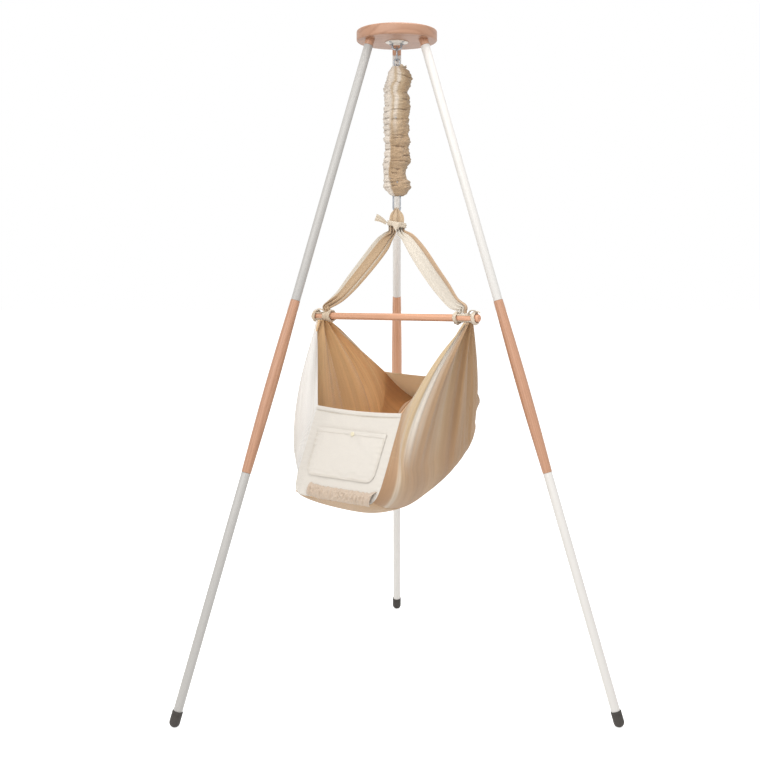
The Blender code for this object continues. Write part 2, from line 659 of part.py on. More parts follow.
def make_sleeve(marker):
    """The scrunched cloth sleeve round the spring: puckered outside, plain inside, a neck at each end."""
    sides = 16
    rows = 28
    inner = (SPRING_RADIUS + SPRING_WIRE_RADIUS + GAP) / math.cos(math.pi / sides)
    rings = []
    for row in range(rows + 1):
        share = row / rows
        sway, middle_radius = sleeve_station(share)
        full = min(1.0, math.sin(math.pi * share) * 3.2) ** 0.5
        phase = math.tau * SLEEVE_PUCKERS * share
        ring = []
        for side in range(sides):
            angle = math.tau * side / sides
            pucker = SLEEVE_PUCKER_DEPTH * math.sin(phase + 1.1 * math.sin(angle) + 0.8 * math.cos(2 * angle))
            lobe = SLEEVE_PUCKER_DEPTH * 0.5 * math.sin(2 * angle + 7.0 * share)
            radius = middle_radius + (pucker + lobe) * full
            ring.append((sway + radius * math.cos(angle), radius * math.sin(angle),
                         SLEEVE_TOP - SLEEVE_LENGTH * share - UPPER_HOOK_BOTTOM))
        rings.append(ring)
    neck = SLEEVE_STATIONS[-1][2] - SLEEVE_NECK_WALL
    inside = [(neck, 1.0), (neck, 1.0 - SLEEVE_NECK_DEPTH / SLEEVE_LENGTH),
              (inner, 1.0 - SLEEVE_NECK_DEPTH * 2 / SLEEVE_LENGTH),
              (inner, SLEEVE_NECK_DEPTH * 2 / SLEEVE_LENGTH),
              (neck, SLEEVE_NECK_DEPTH / SLEEVE_LENGTH), (neck, 0.0)]
    for radius, share in inside:
        angles = [math.tau * side / sides for side in range(sides)]
        rings.append([(radius * math.cos(a), radius * math.sin(a),
                       SLEEVE_TOP - SLEEVE_LENGTH * share - UPPER_HOOK_BOTTOM) for a in angles])
    bm = bmesh.new()
    verts = [[bm.verts.new(point) for point in ring] for ring in rings]
    for lower, upper in zip(verts, verts[1:] + verts[:1]):
        for side in range(sides):
            after = (side + 1) % sides
            bm.faces.new((lower[side], upper[side], upper[after], lower[after]))
    mesh_object("spring_sleeve", bm, "cotton", marker["spring"])


def bundle(name, route, widths, thicknesses, across, finish, parent, sides=SLING_SIDES, folds=SLING_FOLDS,
           fold_depth=SLING_FOLD_DEPTH):
    """A gathered band of cloth along a route of points: oval sections with lengthwise folds."""
    bm = bmesh.new()
    rings = []
    for index, point in enumerate(route):
        before = route[max(index - 1, 0)]
        after = route[min(index + 1, len(route) - 1)]
        along = (after - before).normalized()
        normal = along.cross(across[index]).normalized()
        width = normal.cross(along).normalized()
        share = index / (len(route) - 1)
        ring = []
        for side in range(sides):
            angle = math.tau * side / sides
            fold = 1.0 - fold_depth / thicknesses[index] * (0.5 + 0.5 * math.cos(folds * angle + share))
            offset = width * (widths[index] * math.cos(angle) * fold)
            offset += normal * (thicknesses[index] * math.sin(angle) * fold)
            ring.append(point + offset)
        rings.append(ring)
    loft(bm, rings)
    bmesh.ops.recalc_face_normals(bm, faces=bm.faces)
    return mesh_object(name, bm, finish, parent)


def eased(values, steps):
    """Smooth values through the given ones, as many as smooth_route gives for the same steps."""
    return [point.x for point in smooth_route([Vector((value, 0.0, 0.0)) for value in values], steps)]


def make_neck(marker):
    """The cloth loop over the lower hook, the tie round the neck and its tail."""
    base = NECK_HEIGHT - LOWER_HOOK_BOTTOM
    top = LOOP_TOP - LOWER_HOOK_BOTTOM
    leg = LOOP_HALF_THICKNESS + LOOP_LEG_GAP
    half = [(-leg, base), (-leg, base + LOOP_LENGTH * 0.35), (-leg, base + LOOP_LENGTH * 0.66),
            (-leg * 0.72, top - LOOP_TOP_THICKNESS * 0.8)]
    route = [Vector((0.0, y, z)) for y, z in half] + [Vector((0.0, 0.0, top))]
    route += [Vector((0.0, -y, z)) for y, z in reversed(half)]
    narrow = LOOP_TOP_HALF_WIDTH
    widths = [LOOP_FOOT_HALF_WIDTH, LOOP_HALF_WIDTH, LOOP_HALF_WIDTH * 0.8, narrow * 1.1]
    widths = widths + [narrow] + widths[::-1]
    thick = [LOOP_HALF_THICKNESS, LOOP_HALF_THICKNESS, LOOP_HALF_THICKNESS * 0.9, LOOP_TOP_THICKNESS * 1.05]
    thick = thick + [LOOP_TOP_THICKNESS] + thick[::-1]
    sideways = [Vector((1.0, 0.0, 0.0))] * len(route)
    bundle("sling_loop", route, widths, thick, sideways, "cotton", marker["cradle_swing"],
           fold_depth=LOOP_FOLD_DEPTH)
    make_tie(marker, base)


def make_tie(marker, base):
    """A flat band tied round the neck, and the tail that sticks out at the left."""
    bm = bmesh.new()
    sides = 20
    reach_x = SLING_NECK_CENTRE + SLING_NECK_HALF_WIDTH + TIE_THICKNESS + TIE_EASE
    reach_y = LOOP_HALF_THICKNESS * 2 + LOOP_LEG_GAP + TIE_THICKNESS + TIE_EASE
    section = [(TIE_THICKNESS, -TIE_HALF_HEIGHT), (TIE_THICKNESS, TIE_HALF_HEIGHT),
               (-TIE_THICKNESS, TIE_HALF_HEIGHT), (-TIE_THICKNESS, -TIE_HALF_HEIGHT)]
    rows = []
    for side in range(sides):
        angle = math.tau * side / sides
        slant = -math.cos(angle) * TIE_SLANT
        rows.append([bm.verts.new(((reach_x + outward) * math.cos(angle), (reach_y + outward) * math.sin(angle),
                                   base + TIE_RISE + slant + height)) for outward, height in section])
    count = len(section)
    for row, following in zip(rows, rows[1:] + rows[:1]):
        for index in range(count):
            after = (index + 1) % count
            bm.faces.new((row[index], following[index], following[after], row[after]))
    bmesh.ops.recalc_face_normals(bm, faces=bm.faces)
    mesh_object("sling_tie", bm, "cotton", marker["cradle_swing"])
    start = Vector((-reach_x - TIE_THICKNESS * 2 - GAP * 2, -0.004, base + TIE_RISE + TIE_SLANT * 0.6))
    end = start + Vector((-TIE_TAIL_REACH, -TIE_TAIL_REACH * 0.2, TIE_TAIL_RISE))
    middle = (start + end) / 2 + Vector((0.0, 0.0, TIE_TAIL_RISE * 0.15))
    route = smooth_route([start, middle, end], 3)
    widths = eased([TIE_HALF_HEIGHT * 0.8, TIE_HALF_HEIGHT * 1.2, TIE_TAIL_HALF_WIDTH], 3)
    thick = [TIE_THICKNESS] * len(route)
    upright = [Vector((0.0, 0.0, 1.0))] * len(route)
    bundle("tie_tail", route, widths, thick, upright, "cotton", marker["cradle_swing"],
           sides=8, folds=0, fold_depth=0.0)


def along_bar(place, rise):
    """The point at a place along the bar, that far above its axis, in the cradle's own frame."""
    tilt = math.radians(BAR_TILT)
    shift = Matrix.Rotation(math.radians(CRADLE_TURN), 3, "Z") @ Vector((BAR_SHIFT, 0.0, 0.0))
    return shift + Vector((place * math.cos(tilt), 0.0, BAR_HEIGHT + place * math.sin(tilt) + rise))


def make_slings(marker):
    """Two gathered bands from the neck down to the bar's ends."""
    frame = marker["cradle"]
    inverse = frame.matrix_world.inverted()
    for name, side in (("left", -1.0), ("right", 1.0)):
        high = inverse @ Vector((side * SLING_NECK_CENTRE, AXIS_Y, NECK_HEIGHT - GAP))
        low = along_bar(side * SLING_END_REACH, WRAP_RADIUS + GAP)
        foot = high - Vector((0.0, 0.0, SLING_NECK_RUN))
        middle = SLING_ROUTES[name]
        points = [high, high.lerp(foot, 0.5), foot]
        points += [Vector((across, low.y * across / low.x, height)) for across, height, width in middle]
        points += [low + Vector((0.0, 0.0, SLING_END_RUN)), low + Vector((0.0, 0.0, SLING_END_RUN / 2)), low]
        widths = [SLING_NECK_HALF_WIDTH] * 3 + [width for across, height, width in middle]
        widths += [SLING_END_HALF_WIDTH] * 3
        thick = [SLING_NECK_THICKNESS] * 4 + [SLING_HALF_THICKNESS] * 4 + [SLING_HALF_THICKNESS * 1.2]
        thick += [SLING_END_THICKNESS] * 3
        turns = [1.0] * 4 + [0.7, 0.3] + [0.0] * 6
        steps = 2
        sideways = Vector((1.0, 0.0, 0.0))
        neck_sideways = inverse.to_3x3() @ sideways
        across = [sideways.lerp(neck_sideways, turn) for turn in eased(turns, steps)]
        bundle("sling_" + name, smooth_route(points, steps), eased(widths, steps), eased(thick, steps),
               across, "cotton", frame)


def make_bar(marker):
    """The wooden spreader bar and the cloth ties on its ends."""
    frame = marker["cradle"]
    half = BAR_LENGTH / 2
    crown = BAR_RADIUS * 0.35
    profile = [(0.0, half), (BAR_RADIUS - crown, half), (BAR_RADIUS, half - crown),
               (BAR_RADIUS, -half + crown), (BAR_RADIUS - crown, -half), (0.0, -half)]
    bar = turned("spreader_bar", profile, "beech", frame)
    bar.location = along_bar(0.0, 0.0)
    bar.rotation_euler = (0.0, math.pi / 2 - math.radians(BAR_TILT), 0.0)
    for name, side in (("left", -1.0), ("right", 1.0)):
        make_bar_tie(name, side * BAR_TIE_REACH, frame)


def make_bar_tie(name, place, frame):
    """The cloth tied round the bar: a thick turn at each end, thin between them, open at the front."""
    inner = BAR_RADIUS + GAP
    thick = BAR_RADIUS + GAP + BAR_WRAP_THICKNESS
    thin = WRAP_RADIUS
    half = BAR_WRAP_HALF_LENGTH
    waist = half - BAR_WRAP_TURN_WIDTH
    edge = BAR_WRAP_TURN_WIDTH * 0.3
    profile = [(inner, half), (thick - edge, half), (thick, half - edge), (thick, waist + edge), (thin, waist),
               (thin, -waist), (thick, -waist - edge), (thick, -half + edge), (thick - edge, -half),
               (inner, -half), (inner, half)]
    tie = turned("bar_tie_" + name, profile, "cotton", frame)
    tie.location = along_bar(place, 0.0)
    tie.rotation_euler = (0.0, math.pi / 2 - math.radians(BAR_TILT), 0.0)
    bm = bmesh.new()
    size = Matrix.Diagonal((BAR_RADIUS, BAR_RADIUS * 2, waist * 2 - edge, 1.0))
    bmesh.ops.create_cube(bm, size=1.0, matrix=Matrix.Translation((0.0, -BAR_RADIUS, 0.0)) @ size)
    cut(tie, cutter("tie_window_" + name, bm, tie))


def keel_point(station):
    """The lowest line of the cloth hull, from its foot end at -1 to its head end at 1."""
    along = FOOT_KEEL_ALONG + (HEAD_KEEL_ALONG - FOOT_KEEL_ALONG) * (station + 1) / 2
    if along < KEEL_LOW_ALONG:
        share = (KEEL_LOW_ALONG - along) / (KEEL_LOW_ALONG - FOOT_KEEL_ALONG)
        return along, KEEL_LOW_HEIGHT + (FOOT_KEEL_HEIGHT - KEEL_LOW_HEIGHT) * share ** FOOT_RISE_POWER
    share = (along - KEEL_LOW_ALONG) / (HEAD_KEEL_ALONG - KEEL_LOW_ALONG)
    return along, KEEL_LOW_HEIGHT + (HEAD_KEEL_HEIGHT - KEEL_LOW_HEIGHT) * share ** HEAD_RISE_POWER


def rim_point(station):
    """The widest line of the cloth hull, where its sides start to draw in to the bar: across, along, up."""
    share = (station + 1) / 2
    middle = RIM_FOOT_HALF_WIDTH + (RIM_HEAD_HALF_WIDTH - RIM_FOOT_HALF_WIDTH) * share
    across = RIM_END_HALF_WIDTH + (middle - RIM_END_HALF_WIDTH) * (1 - station ** 4)
    along = FOOT_RIM_ALONG + (HEAD_RIM_ALONG - FOOT_RIM_ALONG) * share
    bulge = FOOT_CORNER_BULGE if station < 0 else HEAD_CORNER_BULGE
    along += bulge * station * (1 - station ** 2)
    height = FOOT_RIM_HEIGHT + (HEAD_RIM_HEIGHT - FOOT_RIM_HEIGHT) * share
    drop = FOOT_RIM_DROP + (HEAD_RIM_DROP - FOOT_RIM_DROP) * share
    height -= drop * (1 - abs(station) ** RIM_DROP_POWER)
    return across, along, height


def squareness(station):
    """How square a section of the hull is: nearly oval along the middle, square at its foot end."""
    if station < 0:
        return OVAL_POWER + (FOOT_END_POWER - OVAL_POWER) * station ** 8
    return OVAL_POWER + (HEAD_END_POWER - OVAL_POWER) * station ** 12


def below_rim(station, angle):
    """A point on the hull under its widest line; the angle is 0 at the keel and 90 degrees at that line."""
    keel_along, keel_height = keel_point(station)
    across, along, height = rim_point(station)
    power = 2.0 / squareness(station)
    reach = abs(math.sin(angle)) ** power
    share = 1.0 - max(math.cos(angle), 0.0) ** power
    return Vector((math.copysign(across * reach, angle), keel_along + (along - keel_along) * share,
                   keel_height + (height - keel_height) * share))


def hull_floor(station, across):
    """The point on the hull's floor at a distance across from the keel."""
    half_width = rim_point(station)[0]
    power = squareness(station)
    share = 1.0 - (1.0 - min(abs(across) / half_width, 1.0) ** power) ** (1.0 / power)
    keel_along, keel_height = keel_point(station)
    along, height = rim_point(station)[1:]
    return Vector((across, keel_along + (along - keel_along) * share, keel_height + (height - keel_height) * share))


def above_rim(station, share, side):
    """A point between the hull's widest line and the gathered cloth under the bar."""
    across, along, height = rim_point(station)
    start = Vector((across * side, along, height))
    end = along_bar(GATHER_REACH * side, -WRAP_RADIUS - GAP) + Vector((0.0, GATHER_HALF_LENGTH * station, 0.0))
    fullness = 1.0 - station ** 8
    middle = (start + end) / 2
    full = start + Vector((side * FAN_SPREAD, 0.0, FAN_RISE))
    knee = middle.lerp(full, fullness)
    return start * (1 - share) ** 2 + knee * (2 * share * (1 - share)) + end * share ** 2


def stations():
    """Places along the hull at which its cloth is shaped, from the foot end to the head end."""
    return [-1.0 + 2.0 * index / (STATIONS - 1) for index in range(STATIONS)]


def fold_wave(station):
    """The folds that fan out from the bar: 0 at the hems, fuller towards the foot end."""
    return math.sin(math.pi * FAN_FOLDS * (station + 1)) * (1.0 + 0.3 * math.sin(2.2 * station + 1.0))


def seam_gap(station):
    """Half the gap at a base seam, as an angle: wider where the foot end turns square."""
    ease = SEAM_FOOT_EASE * station ** 8 if station < 0 else 0.0
    return (SEAM_GAP + ease) / RIM_HEAD_HALF_WIDTH


def make_side(name, side, frame):
    """One side panel: from its seam with the base up round the hull and into the gather under the bar."""
    lower_rows = SIDE_ROWS // 3
    upper_rows = SIDE_ROWS - lower_rows
    plain = []
    for row in range(lower_rows):
        place = row / lower_rows
        line = []
        for station in stations():
            start = BASE_SEAM_ANGLE + seam_gap(station)
            line.append(below_rim(station, (start + (math.pi / 2 - start) * place) * side))
        plain.append(line)
    for row in range(upper_rows + 1):
        plain.append([above_rim(station, row / upper_rows, side) for station in stations()])
    rows = []
    last = len(plain) - 1
    for index, row in enumerate(plain):
        rise = index / last
        depth = FAN_FOLD_DEPTH * min(rise / 0.6, 1.0) ** 2
        folded = []
        for place, station in enumerate(stations()):
            above = plain[min(index + 1, last)][place] - plain[max(index - 1, 0)][place]
            beside = row[min(place + 1, STATIONS - 1)] - row[max(place - 1, 0)]
            outward = beside.cross(above) * side
            outward = outward.normalized().lerp(Vector((side, 0.0, 0.0)), rise ** 4).normalized()
            folded.append(row[place] + outward * (depth * fold_wave(station)))
        rows.append(folded if side > 0 else folded[::-1])
    sheet("side_panel_" + name, rows, CLOTH_THICKNESS, "cotton", frame)


def make_base(frame):
    """The base panel between the two side seams, from the foot panel to the head panel."""
    rows = []
    for row in range(BASE_ROWS):
        place = -1.0 + 2.0 * row / (BASE_ROWS - 1)
        rows.append([below_rim(station, place * (BASE_SEAM_ANGLE - seam_gap(station))) for station in stations()])
    sheet("base_panel", rows, CLOTH_THICKNESS, "cotton", frame)


def end_frame(name, station, frame):
    """An axis marker on an end panel: origin at its foot on the keel, X across, Y up it, Z outwards."""
    keel_along, keel_height = keel_point(station)
    along, height = rim_point(station)[1:]
    up = Vector((0.0, along - keel_along, height - keel_height))
    upward = up.normalized()
    across = Vector((-station, 0.0, 0.0))
    outward = across.cross(upward)
    turn = Matrix((across, upward, outward)).transposed().to_4x4()
    place = Matrix.Translation((0.0, keel_along, keel_height)) @ turn
    return empty(name, frame.matrix_world @ place), up.length


def end_outline(station, length, sag, inset, steps=14):
    """An end panel's outline: its sagging top hem, then round its sewn sides and foot."""
    half_width = RIM_END_HALF_WIDTH - inset
    power = 2.0 / squareness(station)
    hem = []
    for step in range(9):
        share = -1.0 + 2.0 * step / 8
        hem.append((half_width * share, length - sag * (1 - share ** 2)))
    sewn = []
    for step in range(1, steps):
        angle = math.pi / 2 - math.pi * step / steps
        reach = abs(math.sin(angle)) ** power
        up = length * (1.0 - math.cos(angle) ** power)
        sewn.append((math.copysign(half_width * reach, angle), up + inset * (1 - up / length)))
    return hem + sewn


def flat_cloth(name, outline, thickness, finish, parent):
    """A flat piece of cloth from an outline in its parent's XY plane."""
    curve = bpy.data.curves.new(name, "CURVE")
    curve.dimensions = "2D"
    curve.fill_mode = "BOTH"
    curve.extrude = thickness / 2
    spline = curve.splines.new("POLY")
    spline.points.add(len(outline) - 1)
    for target, point in zip(spline.points, outline):
        target.co = (point[0], point[1], 0.0, 1.0)
    spline.use_cyclic_u = True
    return finish_object(bpy.data.objects.new(name, curve), finish, parent)


def make_end_panels(frame):
    """The canvas foot panel with its ruffled hem, and the head panel."""
    foot_axis, foot_length = end_frame("foot_panel_axis", -1.0, frame)
    foot_outline = end_outline(-1.0, foot_length, HEM_SAG, FOOT_PANEL_INSET)
    flat_cloth("foot_panel", foot_outline, CLOTH_THICKNESS, "canvas", foot_axis)
    head_axis, head_length = end_frame("head_panel_axis", 1.0, frame)
    head_outline = end_outline(1.0, head_length, HEAD_HEM_SAG, HEAD_PANEL_INSET)
    flat_cloth("head_panel", head_outline, CLOTH_THICKNESS, "cotton", head_axis)
    make_hem_roll(foot_axis)
    make_pocket(foot_axis, foot_length)


def make_hem_roll(foot_axis):
    """The ruffled roll of canvas along the foot of the foot panel, outside it."""
    bm = bmesh.new()
    rings = []
    steps = HEM_RUFFLES * 4
    sides = 8
    ruffle = HEM_ROLL_RADIUS * 0.18
    for step in range(steps + 1):
        share = -1.0 + 2.0 * step / steps
        taper = 1.0 - 0.45 * share ** 8
        radius = (HEM_ROLL_RADIUS + ruffle * math.sin(math.tau * HEM_RUFFLES * step / steps)) * taper
        out = CLOTH_THICKNESS / 2 + GAP + HEM_ROLL_RADIUS + ruffle
        ring = []
        for side in range(sides):
            angle = math.tau * side / sides
            ring.append((HEM_ROLL_HALF_LENGTH * share, HEM_ROLL_RISE + radius * math.cos(angle),
                         out + radius * math.sin(angle)))
        rings.append(ring)
    loft(bm, rings)
    bmesh.ops.recalc_face_normals(bm, faces=bm.faces)
    mesh_object("foot_hem", bm, "canvas", foot_axis)


def pocket_outline(inset, top):
    """The pocket's outline from its foot, with round lower corners; top is how far up it runs."""
    slope = (POCKET_TOP_HALF_WIDTH - POCKET_BOTTOM_HALF_WIDTH) / POCKET_HEIGHT
    corner = POCKET_CORNER - inset
    half = POCKET_BOTTOM_HALF_WIDTH - inset
    right = [(half - corner + x, inset + corner + y) for x, y in arc((0.0, 0.0), corner, -math.pi / 2, 0.0, 4)]
    left = [(-x, y) for x, y in reversed(right)]
    reach = half + slope * top
    return right + [(reach, top), (-reach, top)] + left


def outline_body(outline, low, high):
    """A closed flat body with the given outline, between two heights."""
    bm = bmesh.new()
    loft(bm, [[(x, y, low) for x, y in outline], [(x, y, high) for x, y in outline]])
    return bm


def make_pocket(foot_axis, foot_length):
    """The patch pocket on the foot panel: a shallow tray of cloth hinged at its foot, and its press stud."""
    foot = foot_length - POCKET_TOP_DROP - POCKET_HEIGHT
    seat = CLOTH_THICKNESS / 2 + GAP
    axis = empty("pocket_axis", foot_axis.matrix_world @ Matrix.Translation((0.0, foot, seat)))
    outer = POCKET_DEPTH + POCKET_THICKNESS
    pocket = mesh_object("pocket", outline_body(pocket_outline(0.0, POCKET_HEIGHT), 0.0, outer), "canvas", axis,
                         smooth=False)
    hollow = outline_body(pocket_outline(POCKET_THICKNESS, POCKET_HEIGHT * 1.1), -POCKET_DEPTH, POCKET_DEPTH)
    cut(pocket, cutter("pocket_hollow", hollow, axis))
    snap = (SNAP_SHIFT, POCKET_HEIGHT - SNAP_DROP)
    cap = bmesh.new()
    low = outer + GAP
    rings = []
    for radius, height in ((SNAP_RADIUS, low), (SNAP_RADIUS, low + SNAP_CAP_HEIGHT * 0.5),
                           (SNAP_RADIUS * 0.75, low + SNAP_CAP_HEIGHT)):
        angles = [math.tau * side / 20 for side in range(20)]
        rings.append([(snap[0] + radius * math.cos(a), snap[1] + radius * math.sin(a), height) for a in angles])
    loft(cap, rings)
    mesh_object("snap_cap", cap, "snap_plastic", axis)
    socket_top = POCKET_DEPTH - GAP
    socket = bmesh.new()
    cylinder(socket, SNAP_RADIUS * 0.8, socket_top - SNAP_SOCKET_HEIGHT, socket_top, 16, snap)
    socket_bore = bmesh.new()
    cylinder(socket_bore, SNAP_POST_RADIUS + GAP, 0.0, POCKET_DEPTH * 2, 16, snap)
    cut(mesh_object("snap_socket", socket, "snap_plastic", axis), cutter("snap_bore", socket_bore, axis))
    stud = bmesh.new()
    rings = []
    base_top = SNAP_STUD_BASE
    for radius, height in ((SNAP_RADIUS * 0.8, 0.0), (SNAP_RADIUS * 0.8, base_top), (SNAP_POST_RADIUS, base_top),
                           (SNAP_POST_RADIUS, socket_top - GAP)):
        angles = [math.tau * side / 16 for side in range(16)]
        rings.append([(snap[0] + radius * math.cos(a), foot + snap[1] + radius * math.sin(a), seat + height)
                      for a in angles])
    loft(stud, rings)
    mesh_object("snap_stud", stud, "snap_plastic", foot_axis)


def make_mattress(frame):
    """The mattress on the hull's floor: bent with it, its top crowned and its sides drawn in."""
    bm = bmesh.new()
    count = 19
    across_steps = 12
    rings = []
    lift = CLOTH_THICKNESS / 2 + MATTRESS_SEAT
    for place in range(count):
        share = -1.0 + 2.0 * place / (count - 1)
        station = MATTRESS_CENTRE_STATION + share * MATTRESS_HALF_SPAN
        end_taper = 1.0 - MATTRESS_END_FALL * abs(share) ** 8
        half_width = MATTRESS_HALF_WIDTH * (1.0 - MATTRESS_END_NARROWING * share ** 8)
        lower = []
        upper = []
        for step in range(across_steps + 1):
            reach = -1.0 + 2.0 * step / across_steps
            point = hull_floor(station, half_width * reach)
            along = hull_floor(station + 0.02, half_width * reach) - hull_floor(station - 0.02, half_width * reach)
            beside = hull_floor(station, half_width * reach + 0.002) - hull_floor(station, half_width * reach - 0.002)
            inward = beside.cross(along).normalized()
            crown = MATTRESS_THICKNESS * end_taper * (1.0 - MATTRESS_SIDE_FALL * abs(reach) ** 5)
            lower.append(point + inward * lift)
            upper.append(point + inward * (lift + crown))
        rings.append(lower + upper[::-1])
    loft(bm, rings)
    bmesh.ops.recalc_face_normals(bm, faces=bm.faces)
    mesh_object("mattress", bm, "mattress_cover", frame)


def make_markers():
    """Axis markers of the hanging group, from the disc down to the cradle."""
    plumb = Matrix.Translation((0.0, AXIS_Y, 0.0))
    marker = {"hanger": empty("hanger_axis", plumb @ Matrix.Translation((0.0, 0.0, DISC_UNDERSIDE)))}
    heights = {"upper_hook": UPPER_HOOK_TOP, "spring": UPPER_HOOK_BOTTOM, "lower_hook": LOWER_HOOK_TOP,
               "cradle_swing": LOWER_HOOK_BOTTOM}
    for name, height in heights.items():
        marker[name] = empty(name + "_axis", plumb @ Matrix.Translation((0.0, 0.0, height)))
    turn = Matrix.Rotation(math.radians(-CRADLE_TURN), 4, "Z")
    marker["cradle"] = empty("cradle_axis", plumb @ turn)
    return marker


def main():
    """Build the whole hammock."""
    marker = make_markers()
    frames = leg_frames()
    bpy.context.view_layer.update()
    make_disc(frames, marker["hanger"])
    for name, frame in frames.items():
        make_leg(name, frame)
    make_hanger(marker["hanger"])
    make_upper_hook(marker)
    make_spring(marker)
    make_sleeve(marker)
    make_lower_hook(marker)
    make_neck(marker)
    make_slings(marker)
    make_bar(marker)
    make_side("left", -1.0, marker["cradle"])
    make_side("right", 1.0, marker["cradle"])
    make_base(marker["cradle"])
    make_end_panels(marker["cradle"])
    make_mattress(marker["cradle"])


clear_scene()
PARTS = new_collection("baby_hammock")
CUTTERS = new_collection("cutters")
MATERIALS = {name: make_material(name, *values) for name, values in FINISHES.items()}
main()
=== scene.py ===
"""Baby hammock hung from a tripod stand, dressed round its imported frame.

Metres, +Z up. Each piece is modelled in place, so its object stays at the origin.
"""
from math import atan2, copysign, cos, exp, pi, radians, remainder, sin, sqrt, tau

import bmesh
import bpy
from mathutils import Matrix, Vector, noise


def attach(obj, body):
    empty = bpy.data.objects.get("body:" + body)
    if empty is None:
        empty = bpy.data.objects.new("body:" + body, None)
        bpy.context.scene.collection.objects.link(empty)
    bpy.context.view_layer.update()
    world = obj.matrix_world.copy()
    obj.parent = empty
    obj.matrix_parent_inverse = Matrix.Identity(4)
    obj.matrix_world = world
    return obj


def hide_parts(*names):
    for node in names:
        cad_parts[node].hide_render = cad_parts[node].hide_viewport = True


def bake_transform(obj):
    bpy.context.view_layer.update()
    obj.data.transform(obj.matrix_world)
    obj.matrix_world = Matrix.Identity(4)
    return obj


bl_info = {
    "name": "Baby hammock with tripod stand",
    "version": (1, 0, 0),
    "blender": (4, 5, 0),
    "location": "View3D > Sidebar > Hammock",
    "description": "Models the hammock, its stand and its cloth round the packed frame",
    "category": "Add Mesh",
}

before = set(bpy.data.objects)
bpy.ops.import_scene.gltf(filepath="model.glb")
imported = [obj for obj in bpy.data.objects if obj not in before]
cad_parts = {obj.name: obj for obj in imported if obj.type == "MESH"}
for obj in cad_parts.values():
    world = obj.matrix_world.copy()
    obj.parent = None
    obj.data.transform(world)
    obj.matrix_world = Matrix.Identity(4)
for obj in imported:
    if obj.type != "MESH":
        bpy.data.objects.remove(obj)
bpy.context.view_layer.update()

GAP = 0.0003

# Places of the stand and the hanging group
AXIS_Y = -0.170899
DISC_UNDERSIDE = 1.850
DISC_RADIUS = 0.113
DISC_THICKNESS = 0.030
HUB_RADIUS = 0.0845
FOOT_RADIUS = 0.688
LEG_TILT = atan2(FOOT_RADIUS - HUB_RADIUS, DISC_UNDERSIDE)
LEG_AZIMUTHS = {"left": 210.0, "right": 330.0, "rear": 90.0}
# Painted shade and light: how dark each leg's paint and wood are drawn beside the plain finish, fitted to the light of
# one view
LEG_PAINTED_SHADE = {"left": 0.54, "right": 0.84, "rear": 0.97}
POLE_PAINTED_SHADE_AND_LIGHT = {"left": 0.76, "right": 0.82, "rear": 1.08}
SIDES = {"left": -1.0, "right": 1.0}
TUBE_RADIUS = 0.0125
PEG_SEAT_DEPTH = 0.020
PEG_EXPOSED = 0.019
POLE_START = 0.758
POLE_END = 1.244
POLE_END_RADIUS = 0.0130
POLE_SWELL = 0.0032
FOOT_DOME_RADIUS = 0.0145
FOOT_DOME_HEIGHT = 0.0135
LEG_LENGTH = (DISC_UNDERSIDE - FOOT_DOME_HEIGHT) / cos(LEG_TILT)
FOOT_SOLE = 0.006
FOOT_MOUTH = 0.030
BOW_BOTTOM = 1.829
UPPER_HOOK_TOP = 1.83445
UPPER_HOOK_LENGTH = 0.036
RING_TOP = 1.80315
RING_LENGTH = 0.0190
SPRING_TOP = 1.78825
SPRING_BOTTOM = 1.42515
SLEEVE_TOP = 1.78065
SLEEVE_LENGTH = 0.358
SLEEVE_RADIUS = 0.034
SLEEVE_SEAM = radians(241.0)
PUCKER_DEPTH = 0.0052
LOWER_HOOK_TOP = 1.42965
LOWER_HOOK_LENGTH = 0.050
LOOP_TOP = 1.38715
NECK_HEIGHT = 1.34115
NECK_TIE_HALF_WIDTH = 0.0266
NECK_TIE_HALF_DEPTH = 0.0205
HOOK_HALF_WIDTH = 0.0100
HOOK_NOSE = 0.0010
HOOK_WIRE = 0.0024
GATE_RADIUS = 0.0017
GATE_PIN_INSET = 0.0022
PLATE_RADIUS = 0.032
PLATE_THICKNESS = 0.0025
SCREW_CIRCLE_RADIUS = 0.025
BOW_HALF_WIDTH = 0.0125
BOW_WIRE = 0.00275
RING_HALF_WIDTH = 0.0085
RING_WIRE = 0.0020
SPRING_RADIUS = 0.0150
SPRING_WIRE = 0.0018
SPRING_TURNS = 16
SPRING_LOOP_RADIUS = 0.0085
SPRING_LEAD = 0.012

# The camera: its place, how far it looks down, its lens and its shift
CAMERA_PLACE = (0.0, AXIS_Y - 3.136, 1.2093)
CAMERA_DOWN = 5.72
CAMERA_LENS = 51.51
CAMERA_SENSOR = 36.0
CAMERA_SHIFT = -0.0221

# The cradle's shape, in its own frame: across to the right, along to the head end, height
CRADLE_TURN = radians(-37.0)
CRADLE_FRAME = Matrix.Translation((0.0, AXIS_Y, 0.0)) @ Matrix.Rotation(CRADLE_TURN, 4, "Z")
BAR_TILT = radians(0.7)
BAR_SHIFT = -0.015
BAR_HEIGHT = 1.0780
BAR_RADIUS = 0.0103
BAR_LENGTH = 0.600
BAR_TIE_REACH = 0.257
BAR_TURN_PLACE = 0.0292
BAR_TURN_RADIUS = 0.0034
SLING_END_REACH = 0.246
GATHER_REACH = 0.264
GATHER_HALF_LENGTH = 0.022
WRAP_RADIUS = BAR_RADIUS + GAP + 0.002
KEEL_LOW = (-0.120, 0.535)
FOOT_KEEL = (-0.290, 0.590)
HEAD_KEEL = (0.285, 0.785)
FOOT_RIM = (-0.176, 0.827)
HEAD_RIM = (0.138, 0.901)
RIM_END_HALF_WIDTH = 0.150
RIM_FOOT_HALF_WIDTH = 0.215
RIM_HEAD_HALF_WIDTH = 0.172
FOOT_RIM_DROP = 0.180
HEAD_RIM_DROP = 0.150
FOOT_CORNER_BULGE = 0.285
